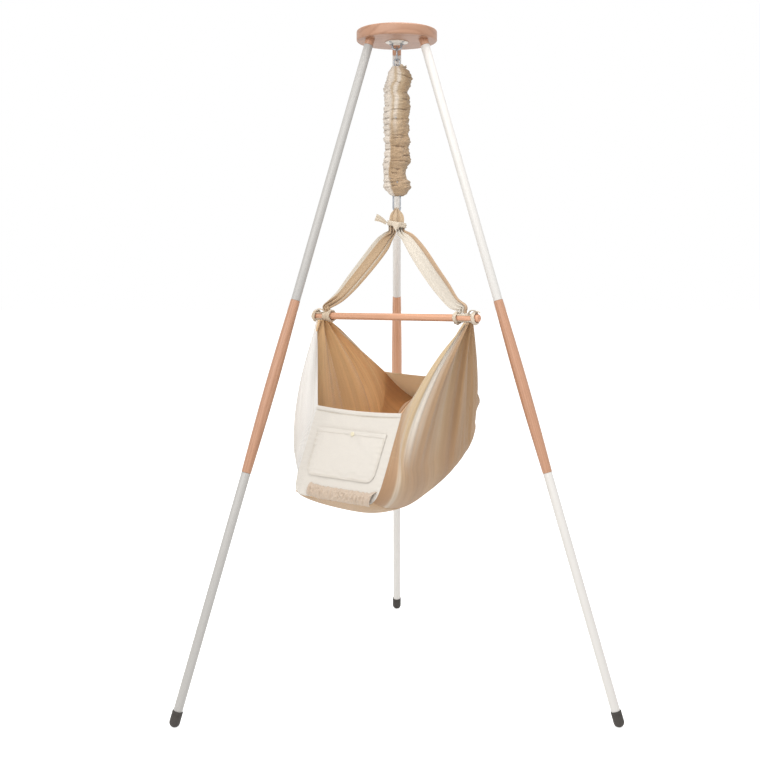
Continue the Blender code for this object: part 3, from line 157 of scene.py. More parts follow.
HEAD_CORNER_BULGE = 0.150
RIM_DROP_POWER = 4.0
OVAL_POWER = 2.1
FOOT_END_POWER = 10.0
HEAD_END_POWER = 3.0
FOOT_RISE_POWER = 2.2
HEAD_RISE_POWER = 1.85
FAN_SPREAD = 0.014
FAN_RISE = 0.140
FAN_FOLDS = 4
FAN_FOLD_DEPTH = 0.0060
BASE_SEAM_ANGLE = 0.62
POCKET_TOP_HALF_WIDTH = 0.122
POCKET_BOTTOM_HALF_WIDTH = 0.119
POCKET_TOP_DROP = 0.064
POCKET_HEIGHT = 0.139
POCKET_CORNER = 0.026
POCKET_DEPTH = 0.0032
PANEL_SEAT = 0.0013
CLOTH_THICKNESS = 0.0018
HALF_CLOTH = CLOTH_THICKNESS / 2
FOOT_HEM_SAG = 0.006
HEAD_HEM_SAG = 0.010
MATTRESS_HALF_WIDTH = 0.147
MATTRESS_THICKNESS = 0.057
MATTRESS_HEAD_RISE = 0.0100
MATTRESS_LIFT = 0.0034
MATTRESS_MIDDLE = 0.090
MATTRESS_HALF_SPAN = 0.870
PIPING_RADIUS = 0.0017
SNAP_RADIUS = 0.0065
SNAP_DROP = 0.010
SNAP_SHIFT = 0.009


def colour_setting(name, description, default):
    """A colour that a user can change."""
    return bpy.props.FloatVectorProperty(name=name, description=description, subtype="COLOR", size=3, default=default)


def power_setting(name, description, default):
    """A lamp's power that a user can change."""
    return bpy.props.FloatProperty(name=name, description=description, subtype="POWER", unit="POWER", default=default)


class StandSettings(bpy.types.PropertyGroup):
    """Sizes and colours of the stand."""

    wood_light: colour_setting("Light wood", "Colour of the pale grain", (0.60, 0.325, 0.20))
    wood_dark: colour_setting("Dark wood", "Colour of the dark grain", (0.38, 0.175, 0.092))
    tube_colour: colour_setting("Tube", "Colour of the painted tubes", (0.76, 0.735, 0.70))
    rubber_colour: colour_setting("Rubber", "Colour of the rubber feet", (0.022, 0.017, 0.014))
    turn_sides: bpy.props.IntProperty(
        name="Sides", description="Sides of a turned piece", default=56, min=24, max=128)


class HangerSettings(bpy.types.PropertyGroup):
    """Colours of the hardware."""

    steel_colour: colour_setting("Steel", "Colour of the hooks and the ring", (0.30, 0.31, 0.33))
    zinc_colour: colour_setting("Zinc", "Colour of the studs and the spring", (0.50, 0.50, 0.51))
    plate_colour: colour_setting("Plate", "Colour of the eye plate", (0.76, 0.70, 0.62))
    pucker_depth: bpy.props.FloatProperty(
        name="Puckers", description="Depth of the sleeve's puckers", subtype="DISTANCE", unit="LENGTH",
        default=PUCKER_DEPTH, min=0.0, max=0.01)


class ClothSettings(bpy.types.PropertyGroup):
    """Colours and folds of the cloth."""

    tan: colour_setting("Tan", "Colour of the outer cloth", (0.56, 0.37, 0.21))
    # Partly the lining's own colour and partly painted light: drawn brighter and warmer for the light that comes
    # through the thin cloth inside the cradle
    ochre: colour_setting("Lining", "Colour of the cloth's inner side", (0.86, 0.60, 0.33))
    canvas: colour_setting("Canvas", "Colour of the foot panel and its pocket", (0.71, 0.665, 0.60))
    # Partly the cover's own colour and partly painted light: drawn brighter to make up for the shade inside the cradle
    cover: colour_setting("Mattress", "Colour of the mattress's cover", (1.0, 0.70, 0.44))
    thread: colour_setting("Thread", "Colour of the stitches", (0.62, 0.52, 0.38))
    weave: bpy.props.FloatProperty(
        name="Weave", description="Width of a thread in the weave", subtype="DISTANCE", unit="LENGTH",
        default=0.0008, min=0.0003, max=0.004)
    crease_depth: bpy.props.FloatProperty(
        name="Creases", description="Depth of the fine creases in the side panels", subtype="DISTANCE",
        unit="LENGTH", default=0.0022, min=0.0, max=0.01)


class StageSettings(bpy.types.PropertyGroup):
    """Strength of the lamps."""

    key: power_setting("Key", "Power of the large lamp on the left", 42.0)
    fill: power_setting("Fill", "Power of the soft lamp on the right", 12.0)
    front: power_setting("Front", "Power of the lamp above the camera", 40.0)
    top: power_setting("Top", "Power of the lamp over the cradle's mouth", 46.0)
    ambient: bpy.props.FloatProperty(
        name="Ambient", description="Strength of the even light from all round", default=0.74, min=0.0, max=2.0)


# Node helpers

def new_finish(name, colour, roughness, metallic=0.0):
    """Start a finish: its material, its nodes, its shader and the place on the piece."""
    material = bpy.data.materials.new(name)
    material.use_nodes = True
    tree = material.node_tree
    shader = tree.nodes["Principled BSDF"]
    shader.inputs["Base Color"].default_value = (*colour, 1.0)
    shader.inputs["Roughness"].default_value = roughness
    shader.inputs["Metallic"].default_value = metallic
    return material, tree, shader, add(tree, "TexCoord").outputs["Object"]


def add(tree, kind, settings=None, **inputs):
    """Add a node, set its options, and link or set its inputs: by name with _ for a space, or by number after i."""
    made = tree.nodes.new("ShaderNode" + kind)
    for key, value in (settings or {}).items():
        setattr(made, key, value)
    for key, value in inputs.items():
        socket = made.inputs[int(key[1:]) if key[1:].isdigit() else key.replace("_", " ")]
        if isinstance(value, bpy.types.NodeSocket):
            tree.links.new(value, socket)
        else:
            socket.default_value = value
    return made


def texture(tree, kind, place, settings=None, **inputs):
    """How strong a texture is at a place."""
    return add(tree, "Tex" + kind, settings, Vector=place, **inputs).outputs["Fac"]


def mapped(tree, place, **inputs):
    """A place moved, turned or scaled."""
    return add(tree, "Mapping", Vector=place, **inputs).outputs[0]


def ranged(tree, value, low, high, **inputs):
    """A value from 0 to 1 brought between two others."""
    return add(tree, "MapRange", Value=value, To_Min=low, To_Max=high, **inputs).outputs[0]


def ramp(tree, factor, stops):
    """Add a colour ramp with stops of (place, colour)."""
    made = add(tree, "ValToRGB", Fac=factor)
    elements = made.color_ramp.elements
    while len(elements) < len(stops):
        elements.new(0.5)
    for element, (place, colour) in zip(elements, stops):
        element.position = place
        element.color = (*colour, 1.0)
    return made.outputs["Color"]


def mix(tree, factor, first, second, blend="MIX"):
    """Mix two colours."""
    first, second = (value if isinstance(value, bpy.types.NodeSocket) else (*value, 1.0) for value in (first, second))
    return add(tree, "Mix", {"data_type": "RGBA", "blend_type": blend}, i0=factor, i6=first, i7=second).outputs[2]


def specked(tree, factor, share, first, second):
    """The first colour, with a share of the second where the factor is high."""
    return mix(tree, maths(tree, "MULTIPLY", factor, share), first, second)


def maths(tree, operation, first, second=0.0):
    """Add a math node."""
    return add(tree, "Math", {"operation": operation}, i0=first, i1=second).outputs[0]


def bump(tree, shader, height, depth, strength=1.0, normal=None):
    """Add a bump of a real depth to the shader."""
    below = {} if normal is None else {"Normal": normal}
    made = add(tree, "Bump", Height=height, Distance=depth, Strength=strength, **below).outputs["Normal"]
    tree.links.new(made, shader.inputs["Normal"])
    return made


def darker(colour, share):
    """The same colour, darker or lighter by a share."""
    return tuple(min(value * share, 1.0) for value in colour)


def wood_finish(name, light, dark, grain_frame, spread=1.0):
    """Oiled beech: growth rings round a line beside the piece, fibres and pores along the frame's Z."""
    material, tree, shader, place = new_finish(name, light, 0.42)
    inverse = grain_frame.inverted()
    place = mapped(tree, place, Location=inverse.translation, Rotation=inverse.to_euler())
    rings_at = mapped(tree, place, Location=(0.06 * spread, 0.045 * spread, 0.0), Scale=(1.0, 1.0, 0.09))
    sway = texture(tree, "Noise", rings_at, Scale=9.0, Detail=2.0, Roughness=0.5)
    rings = texture(tree, "Wave", rings_at, {"wave_type": "RINGS", "rings_direction": "Z", "wave_profile": "SAW"},
                    Scale=26.0 / spread, Distortion=5.0, Detail=3.0, Detail_Scale=1.4, Detail_Roughness=0.6)
    fibres_at = mapped(tree, place, Scale=(1.0, 1.0, 0.03))
    fibres = texture(tree, "Noise", fibres_at, Scale=900.0, Detail=3.0, Roughness=0.65)
    pores = add(tree, "TexVoronoi", Vector=mapped(tree, place, Scale=(1.0, 1.0, 0.06)), Scale=650.0)
    pore = maths(tree, "LESS_THAN", pores.outputs["Distance"], 0.16)
    patches = texture(tree, "Noise", place, Scale=6.0, Detail=1.0)
    tone = ramp(tree, rings, [(0.0, light), (0.55, darker(light, 0.90)), (0.82, dark), (1.0, darker(light, 0.94))])
    tone = specked(tree, sway, 0.65, tone, darker(light, 1.06))
    tone = specked(tree, fibres, 0.36, tone, dark)
    tone = specked(tree, pore, 0.30, tone, darker(dark, 0.6))
    tone = specked(tree, patches, 0.25, tone, darker(light, 1.12))
    tree.links.new(tone, shader.inputs["Base Color"])
    tree.links.new(ranged(tree, fibres, 0.34, 0.56), shader.inputs["Roughness"])
    shader.inputs["Coat Weight"].default_value = 0.12
    shader.inputs["Coat Roughness"].default_value = 0.35
    low = bump(tree, shader, fibres, 0.00012, 0.5)
    bump(tree, shader, maths(tree, "SUBTRACT", 1.0, pore), 0.0001, 0.5, low)
    return material


def paint_finish(name, colour, grain=3200.0):
    """Satin powder coat: fine orange peel, a little uneven in gloss, a trace of handling."""
    material, tree, shader, place = new_finish(name, colour, 0.36)
    peel = texture(tree, "Noise", place, Scale=grain, Detail=2.0, Roughness=0.5)
    cloud = texture(tree, "Noise", place, Scale=14.0, Detail=3.0)
    tree.links.new(specked(tree, cloud, 0.16, colour, darker(colour, 0.90)), shader.inputs["Base Color"])
    tree.links.new(ranged(tree, cloud, 0.30, 0.46), shader.inputs["Roughness"])
    bump(tree, shader, peel, 0.00005, 0.35)
    return material


def metal_finish(name, colour, roughness=0.30):
    """Plated steel: fine drawing marks, dull patches and darker wear."""
    material, tree, shader, place = new_finish(name, colour, roughness, 0.95)
    drawn = texture(tree, "Noise", mapped(tree, place, Scale=(1.0, 1.0, 0.08)), Scale=2600.0, Detail=3.0)
    dull = texture(tree, "Noise", place, Scale=190.0, Detail=4.0)
    tree.links.new(specked(tree, dull, 0.55, darker(colour, 1.25), darker(colour, 0.55)), shader.inputs["Base Color"])
    tree.links.new(ranged(tree, dull, roughness * 0.7, roughness * 1.6), shader.inputs["Roughness"])
    bump(tree, shader, drawn, 0.00004, 0.4)
    return material


def rubber_finish(name, colour):
    """Matt moulded rubber with a fine grain and dusty patches."""
    material, tree, shader, place = new_finish(name, colour, 0.62)
    grain = texture(tree, "Noise", place, Scale=1500.0, Detail=3.0)
    dust = texture(tree, "Noise", place, Scale=90.0, Detail=4.0)
    tree.links.new(specked(tree, dust, 0.30, colour, (0.10, 0.088, 0.076)), shader.inputs["Base Color"])
    tree.links.new(ranged(tree, dust, 0.50, 0.78), shader.inputs["Roughness"])
    bump(tree, shader, grain, 0.00015, 0.5)
    return material


def plastic_finish(name, colour):
    """Moulded plastic: a soft gloss, slightly cloudy."""
    material, tree, shader, place = new_finish(name, colour, 0.30)
    cloud = texture(tree, "Noise", place, Scale=420.0, Detail=3.0)
    tree.links.new(specked(tree, cloud, 0.25, colour, darker(colour, 0.84)), shader.inputs["Base Color"])
    bump(tree, shader, cloud, 0.00005, 0.3)
    return material


def streaked(tree, stops, streaks, high=None):
    """A colour that runs over a cloth's width, with streaks along it, and its darker twin; high is for its top."""
    spot = add(tree, "UVMap", {"uv_map": "spot"}).outputs["UV"]
    fan = texture(tree, "Noise", mapped(tree, spot, Scale=(22.0, 1.1, 1.0)), Scale=1.0, Detail=3.0, Roughness=0.55)
    thin = texture(tree, "Noise", mapped(tree, spot, Scale=(75.0, 1.6, 1.0)), Scale=1.0, Detail=2.0)
    split = add(tree, "SeparateXYZ", Vector=spot)
    sway = maths(tree, "MULTIPLY", maths(tree, "SUBTRACT", fan, 0.5), 0.10)
    place = maths(tree, "ADD", split.outputs["X"], sway)
    tone = ramp(tree, place, stops)
    if high:
        level = add(tree, "MapRange", {"interpolation_type": "SMOOTHSTEP"}, Value=split.outputs["Y"], From_Min=0.30,
                    From_Max=0.62)
        tone = mix(tree, level.outputs[0], tone, ramp(tree, place, high))
    both = maths(tree, "ADD", maths(tree, "MULTIPLY", fan, 0.6), maths(tree, "MULTIPLY", thin, 0.4))
    level = ranged(tree, both, 1.0 - streaks, 1.0 + streaks, From_Min=0.36, From_Max=0.64)
    lit = mix(tree, 1.0, tone, level, "MULTIPLY")
    return lit, mix(tree, 1.0, lit, (0.88, 0.84, 0.80), "MULTIPLY")


def cloth_finish(name, light, dark, twill=False, puckers=0.0006, stops=None, streaks=0.0, high=None):
    """Woven cotton on the piece's own weave map, whose unit is a metre of cloth.

    Warp and weft cross at the thread's width, and the colour is darkened where they dip, as painted shade between the
    threads;
    slubs, soft creases and uneven dye lie over them. With stops, which carry painted light and shade, the colour runs
    over the piece's width by its spot map, and streaks fan out along it.
    """
    material, tree, shader, place = new_finish(name, light, 0.92)
    weave_map = add(tree, "UVMap", {"uv_map": "weave"}).outputs["UV"]
    thread = settings().cloth.weave
    across = mapped(tree, weave_map, Rotation=(0.0, 0.0, pi / 4 if twill else 0.0))
    bands = {"Scale": 0.31 / thread, "Distortion": 0.6, "Detail": 1.0, "Detail_Scale": 2.0}
    cross = maths(tree, "MULTIPLY", texture(tree, "Wave", across, {"bands_direction": "X"}, **bands),
                  texture(tree, "Wave", weave_map, {"bands_direction": "Y"}, **bands))
    slubs = texture(tree, "Noise", mapped(tree, weave_map, Scale=(1.0, 0.06, 1.0)), Scale=520.0, Detail=3.0,
                    Roughness=0.6)
    soft = texture(tree, "Noise", place, Scale=26.0, Detail=4.0, Roughness=0.55, Distortion=0.6)
    dye = texture(tree, "Noise", place, Scale=5.0, Detail=2.0)
    if stops:
        light, dark = streaked(tree, stops, streaks, high)
    deep = darker(tuple(dark), 0.80) if isinstance(dark, tuple) else mix(tree, 1.0, dark, (0.8, 0.8, 0.8), "MULTIPLY")
    tone = specked(tree, dye, 0.55, light, dark)
    tone = specked(tree, slubs, 0.12, tone, deep)
    # Painted shade between the threads: the colour is darkened where the weave dips
    weave_with_painted_shade = mix(tree, 1.0, tone, ranged(tree, cross, 0.86, 1.0), "MULTIPLY")
    tree.links.new(weave_with_painted_shade, shader.inputs["Base Color"])
    shader.inputs["Sheen Weight"].default_value = 0.25
    shader.inputs["Sheen Roughness"].default_value = 0.5
    low = bump(tree, shader, soft, puckers, 0.8)
    low = bump(tree, shader, slubs, 0.00012, 0.5, low)
    bump(tree, shader, cross, thread * 0.35, 0.7, low)
    return material


def thread_finish(name, colour):
    """Twisted sewing thread."""
    material, tree, shader, place = new_finish(name, colour, 0.7)
    twist = texture(tree, "Wave", place, {"bands_direction": "DIAGONAL"}, Scale=900.0, Distortion=1.0)
    # Painted shade in the twist's grooves: the colour darkens where the twist's bump is low
    tree.links.new(specked(tree, twist, 0.5, darker(colour, 0.72), colour), shader.inputs["Base Color"])
    bump(tree, shader, twist, 0.0001, 0.6)
    return material


FINISHES = {}


def finish(name):
    """The finish of that name, made once."""
    if name not in FINISHES:
        FINISHES[name] = MAKERS[name]()
    return FINISHES[name]


def settings():
    """The add-on's settings in this scene."""
    return bpy.context.scene.hammock


def wood(name, grain_frame, spread=1.0, share=1.0):
    """A beech finish whose grain follows a frame, darker or lighter by a share, which paints shade or light into one
    piece's wood.
    """
    stand = settings().stand
    return wood_finish(name, darker(tuple(stand.wood_light), share), darker(tuple(stand.wood_dark), share),
                       grain_frame, spread)


def cloth(light, dark, name, twill=False, puckers=0.0006):
    """A cotton finish between two of the cloth's colours."""
    own = settings().cloth
    return cloth_finish(name, tuple(getattr(own, light)), darker(tuple(getattr(own, light)), dark), twill, puckers)


def side_finish(name, stops, streaks, high=None):
    """The finish of one face of a side panel, whose colour, with its painted light and shade, runs from its foot hem to
    its head hem.
    """
    return cloth_finish(name, stops[0][1], stops[0][1], False, 0.0010, stops, streaks, high)


# The side panels' colours from the foot hem, at 0, to the head hem, at 1, fitted to the light of one view.
# They hold painted light and shade: the pale outer left and the tan outer right are one cloth lit and shaded,
# the pale bands on the outer right are painted highlights and its dark bands painted shade in folds and seams,
# and the inner side is drawn brighter as painted light, darkening low down by the mattress as painted shade
SIDE_OUT_RIGHT_PAINTED_LIGHT = [(0.0, (0.43, 0.26, 0.145)), (0.065, (0.48, 0.305, 0.18)), (0.090, (0.64, 0.53, 0.41)),
                  (0.120, (0.56, 0.40, 0.26)), (0.20, (0.50, 0.33, 0.20)), (0.34, (0.45, 0.28, 0.155)),
                  (0.43, (0.51, 0.33, 0.18)), (0.50, (0.38, 0.215, 0.105)), (0.58, (0.46, 0.28, 0.14)),
                  (1.0, (0.48, 0.30, 0.16))]
SIDE_OUT_RIGHT_HIGH_PAINTED_LIGHT = [(0.0, (0.58, 0.44, 0.265)), (0.13, (0.60, 0.45, 0.275)), (0.165, (0.76, 0.70, 0.62)),
                       (0.215, (0.74, 0.67, 0.58)), (0.28, (0.48, 0.31, 0.18)), (0.36, (0.43, 0.265, 0.14)),
                       (0.43, (0.56, 0.40, 0.245)), (0.50, (0.36, 0.205, 0.095)), (0.58, (0.46, 0.28, 0.135)),
                       (1.0, (0.50, 0.32, 0.18))]
SIDE_OUT_LEFT_PAINTED_LIGHT = [(0.0, (0.60, 0.49, 0.37)), (0.70, (0.72, 0.66, 0.57)), (0.90, (0.79, 0.76, 0.72)),
                 (1.0, (0.80, 0.785, 0.76))]
SIDE_IN_PAINTED_LIGHT = [(0.0, (0.62, 0.43, 0.25)), (0.25, (0.64, 0.43, 0.23)), (0.55, (0.66, 0.40, 0.19)),
           (0.80, (0.80, 0.50, 0.24)), (1.0, (0.86, 0.57, 0.30))]
SIDE_IN_LOW_PAINTED_LIGHT = [(0.0, (0.62, 0.43, 0.25)), (0.5, (0.70, 0.44, 0.22)), (0.82, (0.74, 0.42, 0.18)),
               (1.0, (0.52, 0.25, 0.09))]


def mirrored(stops):
    """The same run of colours from its other end."""
    return [(1.0 - place, tone) for place, tone in reversed(stops)]


MAKERS = {
    "plate_steel": lambda: paint_finish("plate_steel", tuple(settings().hanger.plate_colour)),
    "rubber": lambda: rubber_finish("rubber", tuple(settings().stand.rubber_colour)),
    "dark_steel": lambda: metal_finish("dark_steel", tuple(settings().hanger.steel_colour)),
    "zinc": lambda: metal_finish("zinc", tuple(settings().hanger.zinc_colour), 0.34),
    "tan_cotton": lambda: cloth("tan", 0.84, "tan_cotton"),
    "ochre_cotton": lambda: cloth("ochre", 0.84, "ochre_cotton"),
    "canvas": lambda: cloth("canvas", 0.90, "canvas", twill=True, puckers=0.0016),
    "mattress_cover": lambda: cloth("cover", 0.80, "mattress_cover"),
    "side_out_right": lambda: side_finish("side_out_right", SIDE_OUT_RIGHT_PAINTED_LIGHT, 0.10, SIDE_OUT_RIGHT_HIGH_PAINTED_LIGHT),
    "side_in_right": lambda: side_finish("side_in_right", SIDE_IN_LOW_PAINTED_LIGHT, 0.08, SIDE_IN_PAINTED_LIGHT),
    "side_out_left": lambda: side_finish("side_out_left", SIDE_OUT_LEFT_PAINTED_LIGHT, 0.06),
    "side_in_left": lambda: side_finish("side_in_left", mirrored(SIDE_IN_LOW_PAINTED_LIGHT), 0.13, mirrored(SIDE_IN_PAINTED_LIGHT)),
    # The head panel's inner side is drawn paler than the lining, as painted light where it lies in shade
    "head_in": lambda: cloth_finish("head_in", (1.0, 0.88, 0.64), (0.97, 0.78, 0.52)),
    # The ruffles' canvas is drawn darker than the panel's canvas: painted shade
    "ruffle_canvas": lambda: cloth_finish("ruffle_canvas", (0.58, 0.47, 0.37), (0.50, 0.375, 0.275), True, 0.0016),
    "dark_piping": lambda: cloth_finish("dark_piping", (0.36, 0.17, 0.07), (0.28, 0.12, 0.05)),
    "thread": lambda: thread_finish("thread", tuple(settings().cloth.thread)),
    "snap_plastic": lambda: plastic_finish("snap_plastic", (0.66, 0.60, 0.44)),
    # The bar's wood is drawn lighter and the disc's darker than the plain wood: painted light and painted shade
    "bar_wood": lambda: wood("bar_wood", CRADLE_FRAME @ Matrix.Rotation(pi / 2, 4, "Y"), 0.7, 1.10),
    "disc_wood": lambda: wood("disc_wood", Matrix.Translation((0.0, AXIS_Y + 0.03, 1.83))
                              @ Matrix.Rotation(radians(7.0), 4, "Z")
                              @ Matrix.Rotation(pi / 2 - 0.05, 4, "Y"), 1.6, 0.68),
}


# Modelling helpers

def new_object(name, data):
    """Put a mesh, a curve, a lamp or a camera into the scene."""
    made = bpy.data.objects.new(name, data)
    bpy.context.scene.collection.objects.link(made)
    return made


def on_axis(height):
    """The place at a height on the upright line that the cradle hangs on."""
    return Matrix.Translation((0.0, AXIS_Y, height))


def deselect():
    """Leave edit mode and select nothing."""
    if bpy.context.object is not None and bpy.context.object.mode != "OBJECT":
        bpy.ops.object.mode_set(mode="OBJECT")
    bpy.ops.object.select_all(action="DESELECT")


def only(piece):
    """Select one object and make it active."""
    deselect()
    piece.select_set(True)
    bpy.context.view_layer.objects.active = piece
    return piece


def settle(piece, matrix=None):
    """Put a piece in its place and move that place into its mesh."""
    only(piece)
    if matrix is not None:
        piece.matrix_world = matrix
    bpy.ops.object.transform_apply(location=True, rotation=True, scale=True)
    return piece


def welded(piece, smooth):
    """Weld a piece's doubled points, turn its faces outwards and shade it smooth up to an angle."""
    only(piece)
    bpy.ops.object.mode_set(mode="EDIT")
    bpy.ops.mesh.select_all(action="SELECT")
    bpy.ops.mesh.remove_doubles(threshold=0.000002)
    bpy.ops.mesh.normals_make_consistent(inside=False)
    bpy.ops.object.mode_set(mode="OBJECT")
    bpy.ops.object.shade_smooth_by_angle(angle=radians(smooth))
    return piece


def wear(piece, *materials):
    """Give a piece its finishes, in slot order."""
    slots = piece.data.materials
    while len(slots) > len(materials):
        slots.pop()
    while len(slots) < len(materials):
        slots.append(None)
    for index, material in enumerate(materials):
        slots[index] = material
    return piece


def rides(piece, body, slot, *nodes):
    """Tie a piece to its body and let it stand for CAD nodes; the slot is not used."""
    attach(piece, body)
    if nodes:
        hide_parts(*nodes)
    return piece


def fitted(piece, material, body, *nodes):
    """Give a piece a finish and tie it to its body."""
    return rides(wear(piece, finish(material)), body, material, *nodes)


def bends(piece, slot, *nodes):
    """Bake a piece's place into its mesh and let it stand for CAD nodes; the slot is not used."""
    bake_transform(piece)
    if nodes:
        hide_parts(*nodes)
    return piece


def turned(name, profile, matrix, steps=None, smooth=35.0):
    """Turn a piece: an edge chain of (radius, height) is extruded, then spun round the upright axis."""
    steps = steps or settings().stand.turn_sides
    deselect()
    bpy.ops.mesh.primitive_plane_add(size=0.01, location=(0.0, 0.0, 0.0))
    piece = bpy.context.object
    piece.name = name
    piece.data.name = name
    bpy.ops.object.mode_set(mode="EDIT")
    bpy.ops.mesh.select_all(action="SELECT")
    bpy.ops.mesh.merge(type="CENTER")
    bpy.ops.transform.translate(value=(profile[0][0], 0.0, profile[0][1]))
    for before, after in zip(profile, profile[1:]):
        move = (after[0] - before[0], 0.0, after[1] - before[1])
        bpy.ops.mesh.extrude_region_move(TRANSFORM_OT_translate={"value": move})
    bpy.ops.mesh.select_all(action="SELECT")
    bpy.ops.mesh.spin(steps=steps, angle=tau, center=(0.0, 0.0, 0.0), axis=(0.0, 0.0, 1.0))
    return welded(settle(piece, matrix), smooth)


def arc(centre, radius, start, end, steps):
    """Points on a circle's arc, as pairs, from one angle to another in degrees."""
    angles = [radians(start + (end - start) * step / steps) for step in range(steps + 1)]
    return [(centre[0] + radius * cos(a), centre[1] + radius * sin(a)) for a in angles]


def rod(radius, high, low, edge):
    """The profile of a solid rod with rounded ends, from its top down."""
    return ([(0.0, high)] + arc((radius - edge, high - edge), edge, 90.0, 0.0, 3)
            + arc((radius - edge, low + edge), edge, 0.0, -90.0, 3) + [(0.0, low)])


def wire(name, points, radius, closed=False, matrix=None, resolution=5, radii=None):
    """A round wire along points, as a mesh with closed ends."""
    curve = bpy.data.curves.new(name, "CURVE")
    curve.dimensions = "3D"
    curve.bevel_depth = radius
    curve.bevel_resolution = resolution
    curve.use_fill_caps = True
    spline = curve.splines.new("POLY")
    spline.points.add(len(points) - 1)
    for index, (target, point) in enumerate(zip(spline.points, points)):
        target.co = (*point, 1.0)
        if radii:
            target.radius = radii[index]
    spline.use_cyclic_u = closed
    spline.use_smooth = True
    only(new_object(name, curve))
    bpy.ops.object.convert(target="MESH")
    return welded(settle(bpy.context.object, matrix), 50.0)


def join(name, pieces):
    """Join pieces into one object of that name."""
    deselect()
    for piece in pieces:
        piece.select_set(True)
    bpy.context.view_layer.objects.active = pieces[0]
    if len(pieces) > 1:
        bpy.ops.object.join()
    piece = bpy.context.object
    piece.name = name
    piece.data.name = name
    return piece


def smooth_route(points, steps):
    """Points on a smooth curve through the given ones."""
    points = [Vector(point) for point in points]
    ends = [points[0] * 2 - points[1]] + points + [points[-1] * 2 - points[-2]]
    route = []
    for index in range(1, len(ends) - 2):
        before, start, end, after = ends[index - 1:index + 3]
        for step in range(steps):
            t = step / steps
            route.append(0.5 * (2 * start + (end - before) * t + (2 * before - 5 * start + 4 * end - after) * t ** 2
                                + (3 * start - before - 3 * end + after) * t ** 3))
    route.append(points[-1])
    return route


def eased(values, steps):
    """Smooth values through the given ones."""
    return [point.x for point in smooth_route([Vector((value, 0.0, 0.0)) for value in values], steps)]


def cloth_mesh(name, rows, matrix=None, closed=False, thickness=0.0016, offset=-1.0, two_faced=False):
    """A sheet from rows of points, with its weave map in metres of cloth, thickened and shaded smooth."""
    count = len(rows[0])
    wrap = 1 if closed else 0
    verts = [point for row in rows for point in row]
    faces = []
    for row in range(len(rows) - 1):
        for index in range(count - 1 + wrap):
            after = (index + 1) % count
            faces.append((row * count + index, row * count + after, (row + 1) * count + after,
                          (row + 1) * count + index))
    mesh = bpy.data.meshes.new(name)
    mesh.from_pydata([tuple(point) for point in verts], [], faces)
    middle = rows[len(rows) // 2]
    along = [0.0]
    for before, after in zip(rows, rows[1:]):
        along.append(along[-1] + (Vector(after[count // 2]) - Vector(before[count // 2])).length)
    beside = [0.0]
    for before, after in zip(middle, middle[1:] + middle[:1]):
        beside.append(beside[-1] + (Vector(after) - Vector(before)).length)
    mesh.uv_layers.new(name="weave")
    mesh.uv_layers.new(name="spot")
    weave_map = mesh.uv_layers["weave"]
    spot_map = mesh.uv_layers["spot"]
    for face in mesh.polygons:
        row, index = divmod(face.index, count - 1 + wrap)
        for loop, (down, over) in zip(face.loop_indices, ((0, 0), (0, 1), (1, 1), (1, 0))):
            weave_map.data[loop].uv = (beside[index + over], along[row + down])
            spot_map.data[loop].uv = ((index + over) / (count - 1 + wrap), (row + down) / (len(rows) - 1))
    piece = settle(new_object(name, mesh), matrix)
    if thickness:
        shell = piece.modifiers.new("Thickness", "SOLIDIFY")
        shell.thickness = thickness
        shell.offset = offset
        if two_faced:
            mesh.materials.append(None)
            mesh.materials.append(None)
            shell.material_offset = 1
        bpy.ops.object.modifier_apply(modifier="Thickness")
    bpy.ops.object.shade_smooth_by_angle(angle=radians(60.0))
    return piece


def grid(high, wide, place, closed=False):
    """Rows of points, each from its share of the rows, 0 to 1, and its place in the row, -1 to 1."""
    steps = range(wide if closed else wide + 1)
    return [[place(row / high, -1.0 + 2.0 * step / wide) for step in steps] for row in range(high + 1)]


def corded(name, route, material, slot, radius, closed=False):
    """A cord sewn along a seam of the cradle, with its own weave map."""
    piece = wire(name, route, radius, closed=closed, matrix=CRADLE_FRAME, resolution=3)
    weave_map = piece.data.uv_layers.new(name="weave")
    for corner in piece.data.loops:
        point = piece.data.vertices[corner.vertex_index].co
        weave_map.data[corner.index].uv = (point.x + point.z, point.y - point.z)
    return rides(wear(piece, finish(material)), "cradle", slot)


def stitches(name, route, normals=None, length=0.0032, pitch=0.0045, radius=0.00032, matrix=None):
    """A row of stitches along a route: short thread loops that dip into the cloth at both ends."""
    normals = normals or [Vector((0.0, 0.0, 1.0))] * len(route)
    places = [0.0]
    for before, after in zip(route, route[1:]):
        places.append(places[-1] + (after - before).length)
    bm = bmesh.new()

    def at(place):
        for index in range(len(route) - 1):
            if place <= places[index + 1] or index == len(route) - 2:
                span = max(places[index + 1] - places[index], 1e-9)
                share = (place - places[index]) / span
                return route[index].lerp(route[index + 1], share), normals[index].lerp(normals[index + 1], share)
        return route[-1], normals[-1]

    sides = 5
    for number in range(int(places[-1] / pitch)):
        rings = []
        for step in range(5):
            place = number * pitch + length * step / 4
            point, normal = at(place)
            ahead = at(place + 0.0002)[0]
            forward = (ahead - point).normalized()
            rise = sin(pi * step / 4)
            beside = forward.cross(normal).normalized()
            centre = point + normal * (radius * (1.6 * rise - 0.6))
            thick = radius * (0.55 + 0.45 * rise)
            rings.append([bm.verts.new(centre + beside * (thick * cos(tau * side / sides))
                                       + normal * (thick * sin(tau * side / sides)))
                          for side in range(sides)])
        for lower, upper in zip(rings, rings[1:]):
            for side in range(sides):
                after = (side + 1) % sides
                bm.faces.new((lower[side], lower[after], upper[after], upper[side]))
        bm.faces.new(rings[0][::-1])
        bm.faces.new(rings[-1])
    bmesh.ops.recalc_face_normals(bm, faces=bm.faces)
    mesh = bpy.data.meshes.new(name)
    bm.to_mesh(mesh)
    bm.free()
    piece = settle(new_object(name, mesh), matrix)
    bpy.ops.object.shade_smooth()
    return wear(piece, finish("thread"))


